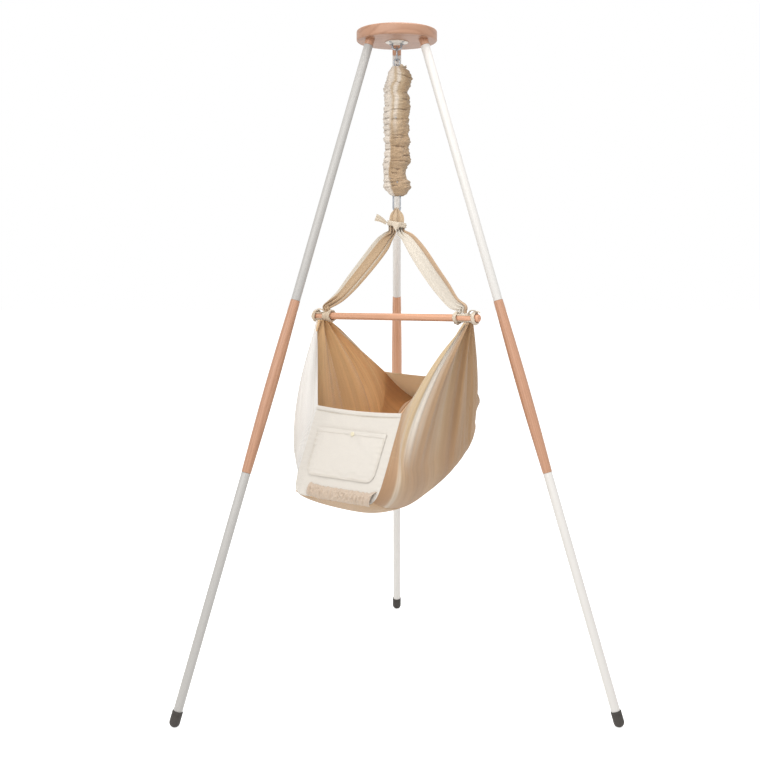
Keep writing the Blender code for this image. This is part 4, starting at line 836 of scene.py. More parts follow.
def sewn_rows(name, routes, matrix, slot):
    """Rows of stitches on a panel of the cradle."""
    return rides(join(name, [stitches(name, route, matrix=matrix) for route in routes]), "cradle", slot)


def ripple(x, y, z=0.0):
    """Smooth noise from -1 to 1."""
    return noise.noise(Vector((x, y, z)))


# The hull's shape

def keel_point(station):
    """The lowest line of the cloth hull, from its foot end at -1 to its head end at 1."""
    along = FOOT_KEEL[0] + (HEAD_KEEL[0] - FOOT_KEEL[0]) * (station + 1) / 2
    if along < KEEL_LOW[0]:
        share = (KEEL_LOW[0] - along) / (KEEL_LOW[0] - FOOT_KEEL[0])
        return along, KEEL_LOW[1] + (FOOT_KEEL[1] - KEEL_LOW[1]) * share ** FOOT_RISE_POWER
    share = (along - KEEL_LOW[0]) / (HEAD_KEEL[0] - KEEL_LOW[0])
    return along, KEEL_LOW[1] + (HEAD_KEEL[1] - KEEL_LOW[1]) * share ** HEAD_RISE_POWER


def rim_point(station):
    """The widest line of the hull: across, along, up."""
    share = (station + 1) / 2
    middle = RIM_FOOT_HALF_WIDTH + (RIM_HEAD_HALF_WIDTH - RIM_FOOT_HALF_WIDTH) * share
    across = RIM_END_HALF_WIDTH + (middle - RIM_END_HALF_WIDTH) * (1 - station ** 4)
    along = FOOT_RIM[0] + (HEAD_RIM[0] - FOOT_RIM[0]) * share
    along += (FOOT_CORNER_BULGE if station < 0 else HEAD_CORNER_BULGE) * station * (1 - station ** 2)
    height = FOOT_RIM[1] + (HEAD_RIM[1] - FOOT_RIM[1]) * share
    drop = FOOT_RIM_DROP + (HEAD_RIM_DROP - FOOT_RIM_DROP) * share
    return across, along, height - drop * (1 - abs(station) ** RIM_DROP_POWER)


def squareness(station):
    """How square a section of the hull is."""
    if station < 0:
        return OVAL_POWER + (FOOT_END_POWER - OVAL_POWER) * station ** 8
    return OVAL_POWER + (HEAD_END_POWER - OVAL_POWER) * station ** 12


def below_rim(station, angle):
    """A point on the hull under its widest line, by its angle from the keel."""
    keel_along, keel_height = keel_point(station)
    across, along, height = rim_point(station)
    power = 2.0 / squareness(station)
    reach = abs(sin(angle)) ** power
    share = 1.0 - max(cos(angle), 0.0) ** power
    return Vector((copysign(across * reach, angle), keel_along + (along - keel_along) * share,
                   keel_height + (height - keel_height) * share))


def hull_floor(station, across):
    """The point on the hull's floor at a distance across from the keel."""
    half_width, along, height = rim_point(station)
    power = squareness(station)
    share = 1.0 - (1.0 - min(abs(across) / half_width, 1.0) ** power) ** (1.0 / power)
    keel_along, keel_height = keel_point(station)
    return Vector((across, keel_along + (along - keel_along) * share, keel_height + (height - keel_height) * share))


def along_bar(place, rise):
    """The point at a place along the bar, that far above its axis, in the cradle's own frame."""
    shift = Matrix.Rotation(-CRADLE_TURN, 3, "Z") @ Vector((BAR_SHIFT, 0.0, 0.0))
    return shift + Vector((place * cos(BAR_TILT), 0.0, BAR_HEIGHT + place * sin(BAR_TILT) + rise))


def above_rim(station, share, side):
    """A point between the hull's widest line and the gathered cloth under the bar."""
    across, along, height = rim_point(station)
    start = Vector((across * side, along, height))
    end = along_bar(GATHER_REACH * side, -WRAP_RADIUS - GAP) + Vector((0.0, GATHER_HALF_LENGTH * station, 0.0))
    full = start + Vector((side * FAN_SPREAD, 0.0, FAN_RISE))
    knee = ((start + end) / 2).lerp(full, 1.0 - station ** 8)
    return start * (1 - share) ** 2 + knee * (2 * share * (1 - share)) + end * share ** 2


def fold_wave(station):
    """The main folds that fan out from the bar."""
    return sin(pi * FAN_FOLDS * (station + 1)) * (1.0 + 0.3 * sin(2.2 * station + 1.0))


def fine_wave(station, rise, side):
    """Narrow creases between the main folds, sharper towards the bar."""
    sway = 0.9 * ripple(station * 1.7, rise * 1.3, side * 4.0)
    first = sin(pi * 11.0 * (station + 1) + 2.5 * sway)
    second = sin(pi * 19.0 * (station + 1) - 3.5 * sway + side)
    return (abs(first) ** 0.7 * copysign(1.0, first) * 0.6 + second * 0.4)


# Operators, one for each piece or group of like pieces

class PieceOperator:
    """Shared options of the operators that make pieces."""

    bl_options = {"REGISTER", "UNDO"}


def leg_matrix(name):
    """A leg's frame: origin where its axis meets the disc's underside, +Z up the leg."""
    around = Matrix.Rotation(radians(LEG_AZIMUTHS[name]), 4, "Z")
    lean = Matrix.Translation((HUB_RADIUS, 0.0, 0.0)) @ Matrix.Rotation(-LEG_TILT, 4, "Y")
    return on_axis(DISC_UNDERSIDE) @ around @ lean


class HAMMOCK_OT_disc(PieceOperator, bpy.types.Operator):
    """Turn the wooden top disc."""

    bl_idname = "hammock.disc"
    bl_label = "Top disc"

    def execute(self, context):
        edge = 0.005
        rim = DISC_RADIUS - edge
        profile = [(0.0, DISC_THICKNESS)] + arc((rim, DISC_THICKNESS - edge), edge, 90.0, 0.0, 6)
        profile += arc((rim, edge), edge, 0.0, -90.0, 6) + [(0.0, 0.0)]
        disc = turned("top_disc", profile, on_axis(DISC_UNDERSIDE), steps=144)
        wear(disc, finish("disc_wood"))
        rides(disc, "stand", "beech", "head_disc")
        return {"FINISHED"}


class HAMMOCK_OT_legs(PieceOperator, bpy.types.Operator):
    """Turn each leg's peg, tubes, pole and rubber foot."""

    bl_idname = "hammock.legs"
    bl_label = "Legs"

    def execute(self, context):
        for index, name in enumerate(LEG_AZIMUTHS):
            place = leg_matrix(name)
            grain = place @ Matrix.Rotation(1.3 + 1.7 * index, 4, "Z")
            # Each leg gets its own darker or lighter copy of the wood and the paint: painted shade and light
            material = wood("beech_" + name, grain, 0.45, POLE_PAINTED_SHADE_AND_LIGHT[name])
            paint = paint_finish("white_tube_" + name, darker(tuple(settings().stand.tube_colour), LEG_PAINTED_SHADE[name]))
            edge = 0.0006
            swollen = []
            for step in range(1, 24):
                share = step / 24
                swollen.append((POLE_END_RADIUS + POLE_SWELL * sin(pi * share),
                                -POLE_START + (POLE_START - POLE_END) * share))
            pole = [(0.0, -POLE_START), (POLE_END_RADIUS - edge, -POLE_START), (POLE_END_RADIUS, -POLE_START - edge)]
            pole += swollen + [(POLE_END_RADIUS, -POLE_END + edge), (POLE_END_RADIUS - edge, -POLE_END),
                               (0.0, -POLE_END)]
            upper = rod(TUBE_RADIUS, -PEG_EXPOSED - GAP, -POLE_START + GAP, 0.0008)
            lower = rod(TUBE_RADIUS, -POLE_END - GAP, -LEG_LENGTH + FOOT_SOLE + GAP, 0.0008)
            for piece, profile, look, slot, node in (
                    ("peg_", rod(TUBE_RADIUS, PEG_SEAT_DEPTH, -PEG_EXPOSED, 0.0005), material, "beech", "leg_peg_"),
                    ("tube_upper_", upper, paint, "white_tube", "upper_tube_"),
                    ("pole_", pole, material, "beech", "middle_pole_"),
                    ("tube_lower_", lower, paint, "white_tube", "lower_tube_")):
                rides(wear(turned(piece + name, profile, place), look), "stand", slot, node + name)
            self.foot(name, place)
        return {"FINISHED"}

    def foot(self, name, place):
        """A rubber cup with a rolled lip and two grip grooves, its dome cut flat by the floor."""
        centre = -LEG_LENGTH
        mouth = centre + FOOT_MOUTH
        inner = TUBE_RADIUS + 0.0001
        outer = FOOT_DOME_RADIUS
        lip = 0.0009
        profile = [(0.0, mouth - 0.004), (inner, mouth - 0.004), (inner, mouth - lip)]
        profile += arc((inner + lip, mouth - lip), lip, 180.0, 0.0, 6) + [(outer, mouth - 0.003)]
        for groove in (0.007, 0.011):
            profile += [(outer, mouth - groove), (outer - 0.0006, mouth - groove - 0.0005),
                        (outer - 0.0006, mouth - groove - 0.0011), (outer, mouth - groove - 0.0016)]
        profile += arc((0.0, centre), outer, 0.0, -90.0, 12)
        foot = turned("foot_" + name, profile, place)
        only(foot)
        bpy.ops.object.mode_set(mode="EDIT")
        bpy.ops.mesh.select_all(action="SELECT")
        bpy.ops.mesh.bisect(plane_co=(0.0, 0.0, 0.00001), plane_no=(0.0, 0.0, 1.0), use_fill=True, clear_inner=True)
        bpy.ops.object.mode_set(mode="OBJECT")
        bpy.ops.object.shade_smooth_by_angle(angle=radians(35.0))
        fitted(foot, "rubber", "stand", "foot_cap_" + name)


class HAMMOCK_OT_eye_plate(PieceOperator, bpy.types.Operator):
    """Make the eye plate under the disc, its four screws and the bow on it."""

    bl_idname = "hammock.eye_plate"
    bl_label = "Eye plate"

    def execute(self, context):
        place = on_axis(DISC_UNDERSIDE)
        low = -PLATE_THICKNESS - GAP
        edge = 0.0015
        profile = [(0.0, -GAP), (PLATE_RADIUS, -GAP)] + arc((PLATE_RADIUS - edge, low + edge), edge, 0.0, -90.0, 4)
        profile += [(0.017, low), (0.0155, low - 0.0004), (0.0, low - 0.0004)]
        plate = turned("eye_plate", profile, place, steps=96)
        fitted(plate, "plate_steel", "stand", "hanger_plate")
        for index in range(4):
            angle = radians(45.0 + 90.0 * index)
            spot = place @ Matrix.Translation((SCREW_CIRCLE_RADIUS * cos(angle), SCREW_CIRCLE_RADIUS * sin(angle), 0.0))
            self.screw(index + 1, spot @ Matrix.Rotation(0.4 + index, 4, "Z"))
        half = BOW_HALF_WIDTH
        drop = DISC_UNDERSIDE - BOW_BOTTOM
        squash = 0.62
        bend = arc((0.0, -drop + half * squash), half, 180.0, 360.0, 32)
        points = [(x, -drop + (z + drop) * (squash if z < -drop + half * squash else 1.0)) for x, z in bend]
        lowest = min(z for x, z in points)
        points = [(x, 0.0, z - drop - lowest) for x, z in points]
        top = -0.0032
        points = [(-half, 0.0, top)] + points + [(half, 0.0, top)]
        bow = wire("eye_bow", points, BOW_WIRE, matrix=place, resolution=7)
        fitted(bow, "dark_steel", "stand", "hanger_bow")
        return {"FINISHED"}

    def screw(self, number, place):
        """One pan-headed screw with a cross recess, head down."""
        top = -PLATE_THICKNESS - GAP * 2
        head = [(0.0, top + 0.004), (0.0019, top + 0.004), (0.0019, top), (0.0040, top), (0.0040, top - 0.0006)]
        head += [(0.0034, top - 0.0012), (0.0020, top - 0.0016), (0.0, top - 0.0017)]
        screw = turned("screw_%d" % number, head, place, steps=32)
        for turn in (0.0, pi / 2):
            deselect()
            bpy.ops.mesh.primitive_cube_add(size=1.0)
            blade = bpy.context.object
            settle(blade, place @ Matrix.Translation((0.0, 0.0, top - 0.0017)) @ Matrix.Rotation(turn, 4, "Z")
                   @ Matrix.Diagonal((0.0044, 0.0009, 0.0018, 1.0)))
            only(screw)
            recess = screw.modifiers.new("Recess", "BOOLEAN")
            recess.operation = "DIFFERENCE"
            recess.solver = "EXACT"
            recess.object = blade
            bpy.ops.object.modifier_apply(modifier="Recess")
            bpy.data.objects.remove(blade, do_unlink=True)
        only(screw)
        bpy.ops.object.shade_smooth_by_angle(angle=radians(30.0))
        fitted(screw, "dark_steel", "stand", "plate_screw_%d" % number)


def oval(half_width, half_length, steps=24):
    """A stadium of points (across, up) about its centre, from the right side's foot."""
    straight = half_length - half_width
    return (arc((0.0, straight), half_width, 0.0, 180.0, steps)
            + arc((0.0, -straight), half_width, 180.0, 360.0, steps))


class HAMMOCK_OT_snap_hooks(PieceOperator, bpy.types.Operator):
    """Bend the two snap hooks, each with its sprung gate and rivet."""

    bl_idname = "hammock.snap_hooks"
    bl_label = "Snap hooks"

    def execute(self, context):
        self.hook("upper", UPPER_HOOK_TOP, UPPER_HOOK_LENGTH, Matrix.Rotation(-pi / 2, 4, "Z"))
        self.hook("lower", LOWER_HOOK_TOP, LOWER_HOOK_LENGTH, Matrix.Identity(4))
        return {"FINISHED"}

    def hook(self, prefix, top, length, turn):
        """One hook in its own plane, opening to the right, then turned into place."""
        place = on_axis(top - length / 2) @ turn
        corner = length / 2 - HOOK_HALF_WIDTH
        body = [(HOOK_HALF_WIDTH, corner - HOOK_NOSE)] + oval(HOOK_HALF_WIDTH, length / 2)
        body += [(HOOK_HALF_WIDTH, -corner + HOOK_NOSE)]
        points = [(x, 0.0, z) for x, z in body]
        frame_wire = wire(prefix + "_hook", points, HOOK_WIRE, matrix=place, resolution=7)
        fitted(frame_wire, "dark_steel", prefix + "_hook", prefix + "_hook_body")
        foot = -corner + HOOK_NOSE + GAP + GATE_PIN_INSET
        reach = corner - HOOK_NOSE - GAP - foot
        gate_place = place @ Matrix.Translation((HOOK_HALF_WIDTH, 0.0, foot))
        gate = turned(prefix + "_gate", rod(GATE_RADIUS, reach, -GATE_PIN_INSET, 0.0006), gate_place, steps=32)
        collar = turned(prefix + "_gate_collar", rod(GATE_RADIUS + 0.0002, reach - 0.001, reach - 0.0035, 0.0002),
                        gate_place, steps=32)
        gate = join(prefix + "_gate", [gate, collar])
        fitted(gate, "dark_steel", prefix + "_gate", prefix + "_hook_gate")
        lying = gate_place @ Matrix.Rotation(pi / 2, 4, "X")
        shank = [(0.0, 0.0029), (0.0010, 0.0029), (0.00145, 0.0025), (0.00145, 0.0021), (0.0009, 0.0021)]
        profile = shank + [(radius, -height) for radius, height in reversed(shank)]
        pin = turned(prefix + "_rivet", profile, lying, steps=24)
        fitted(pin, "zinc", prefix + "_hook", prefix + "_gate_pin")


class HAMMOCK_OT_spring(PieceOperator, bpy.types.Operator):
    """Bend the ring and wind the spring that hangs from it."""

    bl_idname = "hammock.spring"
    bl_label = "Ring and spring"

    def execute(self, context):
        points = [(x, 0.0, z - RING_LENGTH / 2) for x, z in oval(RING_HALF_WIDTH, RING_LENGTH / 2)][:-1]
        ring = wire("ring", points, RING_WIRE, closed=True, matrix=on_axis(RING_TOP),
                    resolution=7)
        fitted(ring, "dark_steel", "spring_head", "spring_ring")
        loop = SPRING_LOOP_RADIUS
        neck = loop * 2 + SPRING_LEAD
        route = [(0.0, y, z) for y, z in arc((0.0, SPRING_TOP - loop), loop, -36.0, 180.0, 20)]
        each = 28
        count = SPRING_TURNS * each
        high = SPRING_TOP - neck
        low = SPRING_BOTTOM + neck
        for index in range(count + 1):
            angle = pi * 1.5 - tau * index / each
            route.append((SPRING_RADIUS * cos(angle), SPRING_RADIUS * sin(angle), high + (low - high) * index / count))
        route += [(0.0, y, z) for y, z in arc((0.0, SPRING_BOTTOM + loop), loop, 180.0, 396.0, 20)]
        coil = wire("spring", route, SPRING_WIRE, matrix=on_axis(0.0), resolution=3)
        bends(wear(coil, finish("zinc")), "zinc", "suspension_spring")
        return {"FINISHED"}


# The sleeve's outline from the front: share of the way down, left and right of the axis
SLEEVE_OUTLINE = ((0.0, -0.0143, 0.0189), (0.037, -0.0196, 0.0322), (0.065, -0.0213, 0.0370),
                  (0.104, -0.0231, 0.0385), (0.142, -0.0301, 0.0336), (0.162, -0.0335, 0.0294),
                  (0.200, -0.0325, 0.0262), (0.248, -0.0301, 0.0340), (0.315, -0.0329, 0.0318),
                  (0.402, -0.0350, 0.0294), (0.450, -0.0350, 0.0294), (0.508, -0.0308, 0.0276),
                  (0.565, -0.0350, 0.0329), (0.623, -0.0301, 0.0294), (0.690, -0.0329, 0.0329),
                  (0.729, -0.0365, 0.0352), (0.777, -0.0350, 0.0232), (0.825, -0.0350, 0.0210),
                  (0.873, -0.0352, 0.0241), (0.892, -0.0355, 0.0320), (0.931, -0.0355, 0.0350),
                  (0.979, -0.0213, 0.0276), (1.0, -0.0126, 0.0189))

# Its creases: share of the way down, from and to across the front, drop from left to right, depth
SLEEVE_CREASES = ((0.258, 0.010, 0.040, 0.000, 0.0040), (0.335, -0.020, 0.034, 0.002, 0.0052),
                  (0.412, -0.020, 0.030, -0.004, 0.0046), (0.532, -0.016, 0.030, 0.004, 0.0036),
                  (0.560, -0.016, 0.030, -0.012, 0.0040), (0.618, -0.016, 0.030, 0.004, 0.0044),
                  (0.690, 0.012, 0.036, 0.000, 0.0040), (0.734, -0.020, 0.036, 0.003, 0.0050),
                  (0.780, -0.018, 0.022, 0.020, 0.0044), (0.825, -0.014, 0.018, 0.004, 0.0040),
                  (0.902, -0.022, 0.024, -0.014, 0.0044), (0.926, -0.018, 0.008, 0.000, 0.0034),
                  (0.168, -0.040, -0.014, -0.022, 0.0036), (0.205, -0.040, -0.014, -0.018, 0.0036),
                  (0.110, -0.016, 0.016, 0.030, 0.0036), (0.060, -0.012, 0.034, 0.030, 0.0030),
                  (0.397, -0.044, -0.016, 0.003, 0.0030), (0.450, -0.044, -0.016, -0.005, 0.0034),
                  (0.488, -0.044, -0.016, 0.004, 0.0030), (0.540, -0.044, -0.016, -0.004, 0.0034),
                  (0.590, -0.044, -0.016, 0.005, 0.0030), (0.642, -0.044, -0.016, -0.004, 0.0034),
                  (0.700, -0.044, -0.016, 0.004, 0.0030), (0.745, -0.044, -0.016, -0.005, 0.0034),
                  (0.790, -0.044, -0.016, 0.004, 0.0030), (0.840, -0.044, -0.016, -0.004, 0.0034),
                  (0.890, -0.044, -0.016, 0.006, 0.0034), (0.940, -0.044, -0.010, -0.005, 0.0030),
                  (0.300, -0.044, -0.018, 0.006, 0.0030), (0.350, -0.044, -0.018, -0.004, 0.0026))


def sleeve_outline(share):
    """The sleeve's left and right edge at a share of the way down it."""
    for start, end in zip(SLEEVE_OUTLINE, SLEEVE_OUTLINE[1:]):
        if share <= end[0]:
            blend = (share - start[0]) / (end[0] - start[0])
            blend = blend * blend * (3 - 2 * blend)
            return start[1] + (end[1] - start[1]) * blend, start[2] + (end[2] - start[2]) * blend
    return SLEEVE_OUTLINE[-1][1:]


def sleeve_crease(share, round_place):
    """How deep the sleeve's creases are at a place round it, in metres from the middle of its front."""
    deep = 0.0
    for level, start, end, drop, depth in SLEEVE_CREASES:
        within = min((round_place - start) / 0.007, (end - round_place) / 0.007, 1.0)
        if within <= 0.0:
            continue
        bow = 0.0035 * ripple(level * 31.0, round_place * 40.0)
        apart = abs(share - level - drop * (round_place - start) / (end - start) - bow) * SLEEVE_LENGTH
        if apart < 0.022:
            deep += within * (depth * exp(-apart / 0.0075) + 0.0040 * exp(-(apart / 0.0021) ** 2))
    return deep


class HAMMOCK_OT_sleeve(PieceOperator, bpy.types.Operator):
    """Shape the scrunched cloth sleeve round the spring, with its seam, its eyelets and its frayed corner."""

    bl_idname = "hammock.sleeve"
    bl_label = "Spring sleeve"

    def execute(self, context):
        depth = settings().hanger.pucker_depth
        sides = 110
        count = 400

        def sleeve_point(share, t):
            left, right = sleeve_outline(share)
            full = min(1.0, sin(pi * share) * 5.0)
            angle = pi * (t + 1.0)
            x = cos(angle)
            y = sin(angle)
            apart = remainder(angle - SLEEVE_SEAM, tau)
            front = remainder(angle - radians(270.0), tau)
            if abs(front) < pi * 0.58:
                beyond = max(abs(front) - pi / 2, 0.0)
                turned_out = sin(front) if beyond == 0.0 else copysign(1.0 + beyond, front)
                crease = sleeve_crease(share, SLEEVE_RADIUS * turned_out)
            else:
                crease = sleeve_crease((share + 0.031) * 0.97, -SLEEVE_RADIUS * sin(remainder(front - pi, tau)))
            bulge = ripple(x * 0.8, y * 0.8 + 3.0, share * 13.0)
            small = ripple(x * 1.6, y * 1.6 + 7.0, share * 42.0)
            crumple = max(cos(angle - radians(205.0)), 0.0) ** 0.5
            rough = ripple(x * 2.2, y * 2.2, share * 58.0) * crumple + 0.5 * abs(small) ** 0.5
            ridge = max(1.0 - 2.6 * abs(ripple(x * 1.3 + 4.0, y * 1.3, share * 27.0 + 0.9 * x)), 0.0)
            second = max(1.0 - 2.8 * abs(ripple(x * 2.0, y * 2.0 + 9.0, share * 39.0 - 1.6 * x)), 0.0)
            relief = 0.0014 - crease * depth / PUCKER_DEPTH + 0.0022 * bulge + 0.0018 * small + 0.0034 * rough - 0.0002
            relief += 0.0026 * ridge ** 1.5 + 0.0016 * second ** 1.5 + 0.0012 * exp(-(apart / 0.05) ** 2)
            radius = (right - left) / 2 + full * relief
            flat = 1.0 - 0.06 * full
            return Vector(((left + right) / 2 + radius * x, flat * radius * y + AXIS_Y,
                           SLEEVE_TOP - SLEEVE_LENGTH * share))

        rows = grid(count, sides, sleeve_point, closed=True)
        sleeve = cloth_mesh("sleeve", rows, closed=True, thickness=0.0012)
        # Painted light and shade: the pale strip on the sleeve's lit side and the tan of its shaded side are one cloth
        # drawn in two colours
        painted_light_pale = (0.76, 0.68, 0.59)
        tan = (0.43, 0.30, 0.18)
        light = (0.54, 0.415, 0.275)
        stops = [(0.0, tan), (0.42, tan), (0.48, painted_light_pale), (0.655, painted_light_pale), (0.69, light), (0.74, painted_light_pale), (0.79, light),
                 (0.86, tan), (1.0, tan)]
        low = [(0.0, tan), (0.42, tan), (0.48, painted_light_pale), (0.655, painted_light_pale), (0.68, tan), (0.80, (0.49, 0.345, 0.215)),
               (1.0, tan)]
        wear(sleeve, cloth_finish("sleeve_cotton", tan, tan, stops=stops, streaks=0.03, high=low))
        bends(sleeve, "cotton", "spring_sleeve")
        frill = self.frill()
        rim_eyelets = self.eyelets(rows, sides, count)
        return {"FINISHED"}

    def frill(self):
        """The frayed corner of cloth that stands up at the sleeve's mouth, on the right."""
        def frill_point(share, t):
            across = (t + 1.0) / 2
            angle = radians(-75.0 + 120.0 * across)
            radius = 0.0155 + 0.0085 * share + 0.0016 * sin(across * 19.0) * share
            height = SLEEVE_TOP - 0.006 + 0.0085 * share + 0.002 * sin(across * 14.0 + 1.0) * share
            return Vector((0.004 + radius * cos(angle), AXIS_Y + radius * sin(angle), height))

        frill = cloth_mesh("sleeve_frill", grid(8, 16, frill_point), thickness=0.0010, offset=0.0)
        wear(frill, cloth_finish("frill_cotton", (0.68, 0.55, 0.40), (0.60, 0.46, 0.31)))
        rides(frill, "spring_head", "cotton")
        return frill

    def eyelets(self, rows, sides, count):
        """Three small metal eyelets in the sleeve's front, two of them near its foot."""
        made = []
        for index, (share, degrees) in enumerate(((0.868, 251.0), (0.902, 276.0), (0.40, 272.0))):
            row = int(share * count)
            side = int(degrees / 360.0 * sides)
            point = rows[row][side]
            outward = Vector((cos(radians(degrees)), sin(radians(degrees)), 0.0))
            turn = outward.to_track_quat("Z", "Y").to_matrix().to_4x4()
            place = Matrix.Translation(point + outward * 0.0012) @ turn
            profile = [(0.0, 0.0), (0.0009, 0.0), (0.0014, 0.0007), (0.0022, 0.0005), (0.0024, -0.0004), (0.0, -0.0006)]
            made.append(turned("eyelet_%d" % index, profile, place, steps=20))
        eyelets = join("sleeve_eyelets", made)
        return bends(wear(eyelets, finish("dark_steel")), "dark_steel")


def ribbon(name, route, half_widths, thicknesses, across, folds, hem=0.0, steps=64, thickness=0.0012, phase=0.0,
           matrix=None, seed=0.0, crisp=0.75, calm=0.0):
    """A gathered band along a route: a strip of cloth whose width is laid in folds, with rolled hems."""
    rows = []
    for index, point in enumerate(route):
        before = route[max(index - 1, 0)]
        after = route[min(index + 1, len(route) - 1)]
        along = (after - before).normalized()
        normal = along.cross(across[index]).normalized()
        width = normal.cross(along).normalized()
        share = index / (len(route) - 1)
        line = []
        for step in range(steps + 1):
            t = -1.0 + 2.0 * step / steps
            sway = 0.8 * ripple(t * 1.4, share * 2.2, seed)
            wave = sin(pi * folds * t + phase + 1.6 * sway + share * 0.8)
            wave = copysign(abs(wave) ** crisp, wave)
            lift = thicknesses[index] * (wave * (0.55 + 0.25 * sin(2.2 * t + seed)) + 0.28 * sway)
            if calm:
                smooth = min(max((half_widths[index] - 0.0125) / 0.008, 0.0), 1.0) * calm
                lift *= 1.0 - smooth * (1.0 - min(max((t - 0.15) / 0.35, 0.0), 1.0))
                lift -= smooth * 0.004 * (1.0 - t * t)
            curl = hem * max(abs(t) - 0.88, 0.0) / 0.12
            side = t * half_widths[index] * (1.0 - 0.10 * wave * cos(pi * folds * t + phase))
            line.append(point + width * side + normal * (lift + curl))
        rows.append(line)
    return cloth_mesh(name, rows, matrix=matrix, thickness=thickness, offset=0.0)


class HAMMOCK_OT_neck(PieceOperator, bpy.types.Operator):
    """Shape the cloth loop on the lower hook, the tie round the neck and the tie's tail."""

    bl_idname = "hammock.neck"
    bl_label = "Neck loop and tie"

    def execute(self, context):
        place = on_axis(0.0)
        leg = 0.0100
        length = LOOP_TOP - NECK_HEIGHT
        half = [(-leg, NECK_HEIGHT - 0.004), (-leg, NECK_HEIGHT + length * 0.35), (-leg, NECK_HEIGHT + length * 0.66),
                (-leg * 0.72, LOOP_TOP - 0.0040)]
        points = [Vector((0.0, y, z)) for y, z in half] + [Vector((0.0, 0.0, LOOP_TOP + 0.0002))]
        points += [Vector((0.0, -y, z)) for y, z in reversed(half)]
        narrow = 0.0060
        widths = [0.0195, 0.0208, 0.0168, narrow * 1.15]
        widths = widths + [narrow] + widths[::-1]
        thick = [0.0040, 0.0040, 0.0040, 0.0036]
        thick = thick + [0.0036] + thick[::-1]
        route = smooth_route(points, 10)
        sideways = [Vector((1.0, 0.0, 0.0))] * len(route)
        loop = ribbon("neck_loop", route, eased(widths, 10), eased(thick, 10), sideways, 2.5, matrix=place, seed=2.0,
                      steps=72)
        wear(loop, cloth_finish("loop_cotton", (0.66, 0.50, 0.335), (0.58, 0.42, 0.27)))
        rides(loop, "cradle", "cotton", "sling_loop")
        self.tie(place)
        return {"FINISHED"}

    def tie(self, place):
        """The band round the neck in soft folds, a flap of it folded down in front, and the flared tail."""

        def band_point(share, t):
            up = -1.0 + 2.0 * share
            angle = pi * (t + 1.0)
            out = 0.0009 * sin(up * 7.0 + 1.5 * sin(angle)) + 0.0006 * sin(3 * angle + up * 3)
            out += 0.0012 * (1.0 - up * up)
            return Vector(((NECK_TIE_HALF_WIDTH + out) * cos(angle), (NECK_TIE_HALF_DEPTH + out) * sin(angle),
                           NECK_HEIGHT + 0.001 - cos(angle) * 0.0045 + up * 0.0066))

        band = cloth_mesh("neck_tie", grid(12, 72, band_point, closed=True), matrix=place, closed=True,
                          thickness=0.0011)
        tint = cloth_finish("tie_cotton", (0.73, 0.64, 0.52), (0.62, 0.50, 0.36))
        wear(band, tint)
        rides(band, "cradle", "cotton", "sling_tie")

        def flap_point(share, t):
            half = 0.0165 * (1.0 - share) + 0.0012
            lift = 0.0014 * sin(t * 4.0 + share * 2.0) * (1.0 - share)
            return Vector((0.001 + t * half - 0.004 * share, -NECK_TIE_HALF_DEPTH - 0.0030 - lift + 0.003 * abs(t) ** 2,
                           NECK_HEIGHT + 0.0062 - 0.024 * share))

        flap = cloth_mesh("neck_tie_flap", grid(14, 16, flap_point), matrix=place, thickness=0.0011, offset=0.0)
        rides(wear(flap, tint), "cradle", "cotton")
        start = Vector((-0.0300, -0.004, NECK_HEIGHT + 0.0037))
        end = start + Vector((-0.030, -0.006, 0.017))
        route = smooth_route([start, (start + end) / 2 + Vector((0.0, 0.0, 0.0025)), end], 10)
        upright = [Vector((0.0, 0.0, 1.0))] * len(route)
        tail = ribbon("neck_tie_tail", route, eased([0.0046, 0.0075, 0.0104], 10), eased([0.0022, 0.0020, 0.0018], 10),
                      upright, 2.5, matrix=place, steps=28, thickness=0.0010, seed=5.0)
        rides(wear(tail, tint), "cradle", "cotton", "tie_tail")


# The slings between the neck and the bar: across, height, half width
SLING_ROUTES = {
    "left": ((-0.0185, 1.3185, 0.0120), (-0.0350, 1.3030, 0.0175), (-0.0580, 1.2800, 0.0240),
             (-0.1115, 1.2265, 0.0275), (-0.1635, 1.1760, 0.0250), (-0.2090, 1.1350, 0.0190)),
    "right": ((0.0190, 1.3185, 0.0125), (0.0430, 1.3005, 0.0195), (0.0820, 1.2565, 0.0260),
              (0.1240, 1.2060, 0.0290), (0.1660, 1.1595, 0.0270), (0.2020, 1.1225, 0.0205)),
}


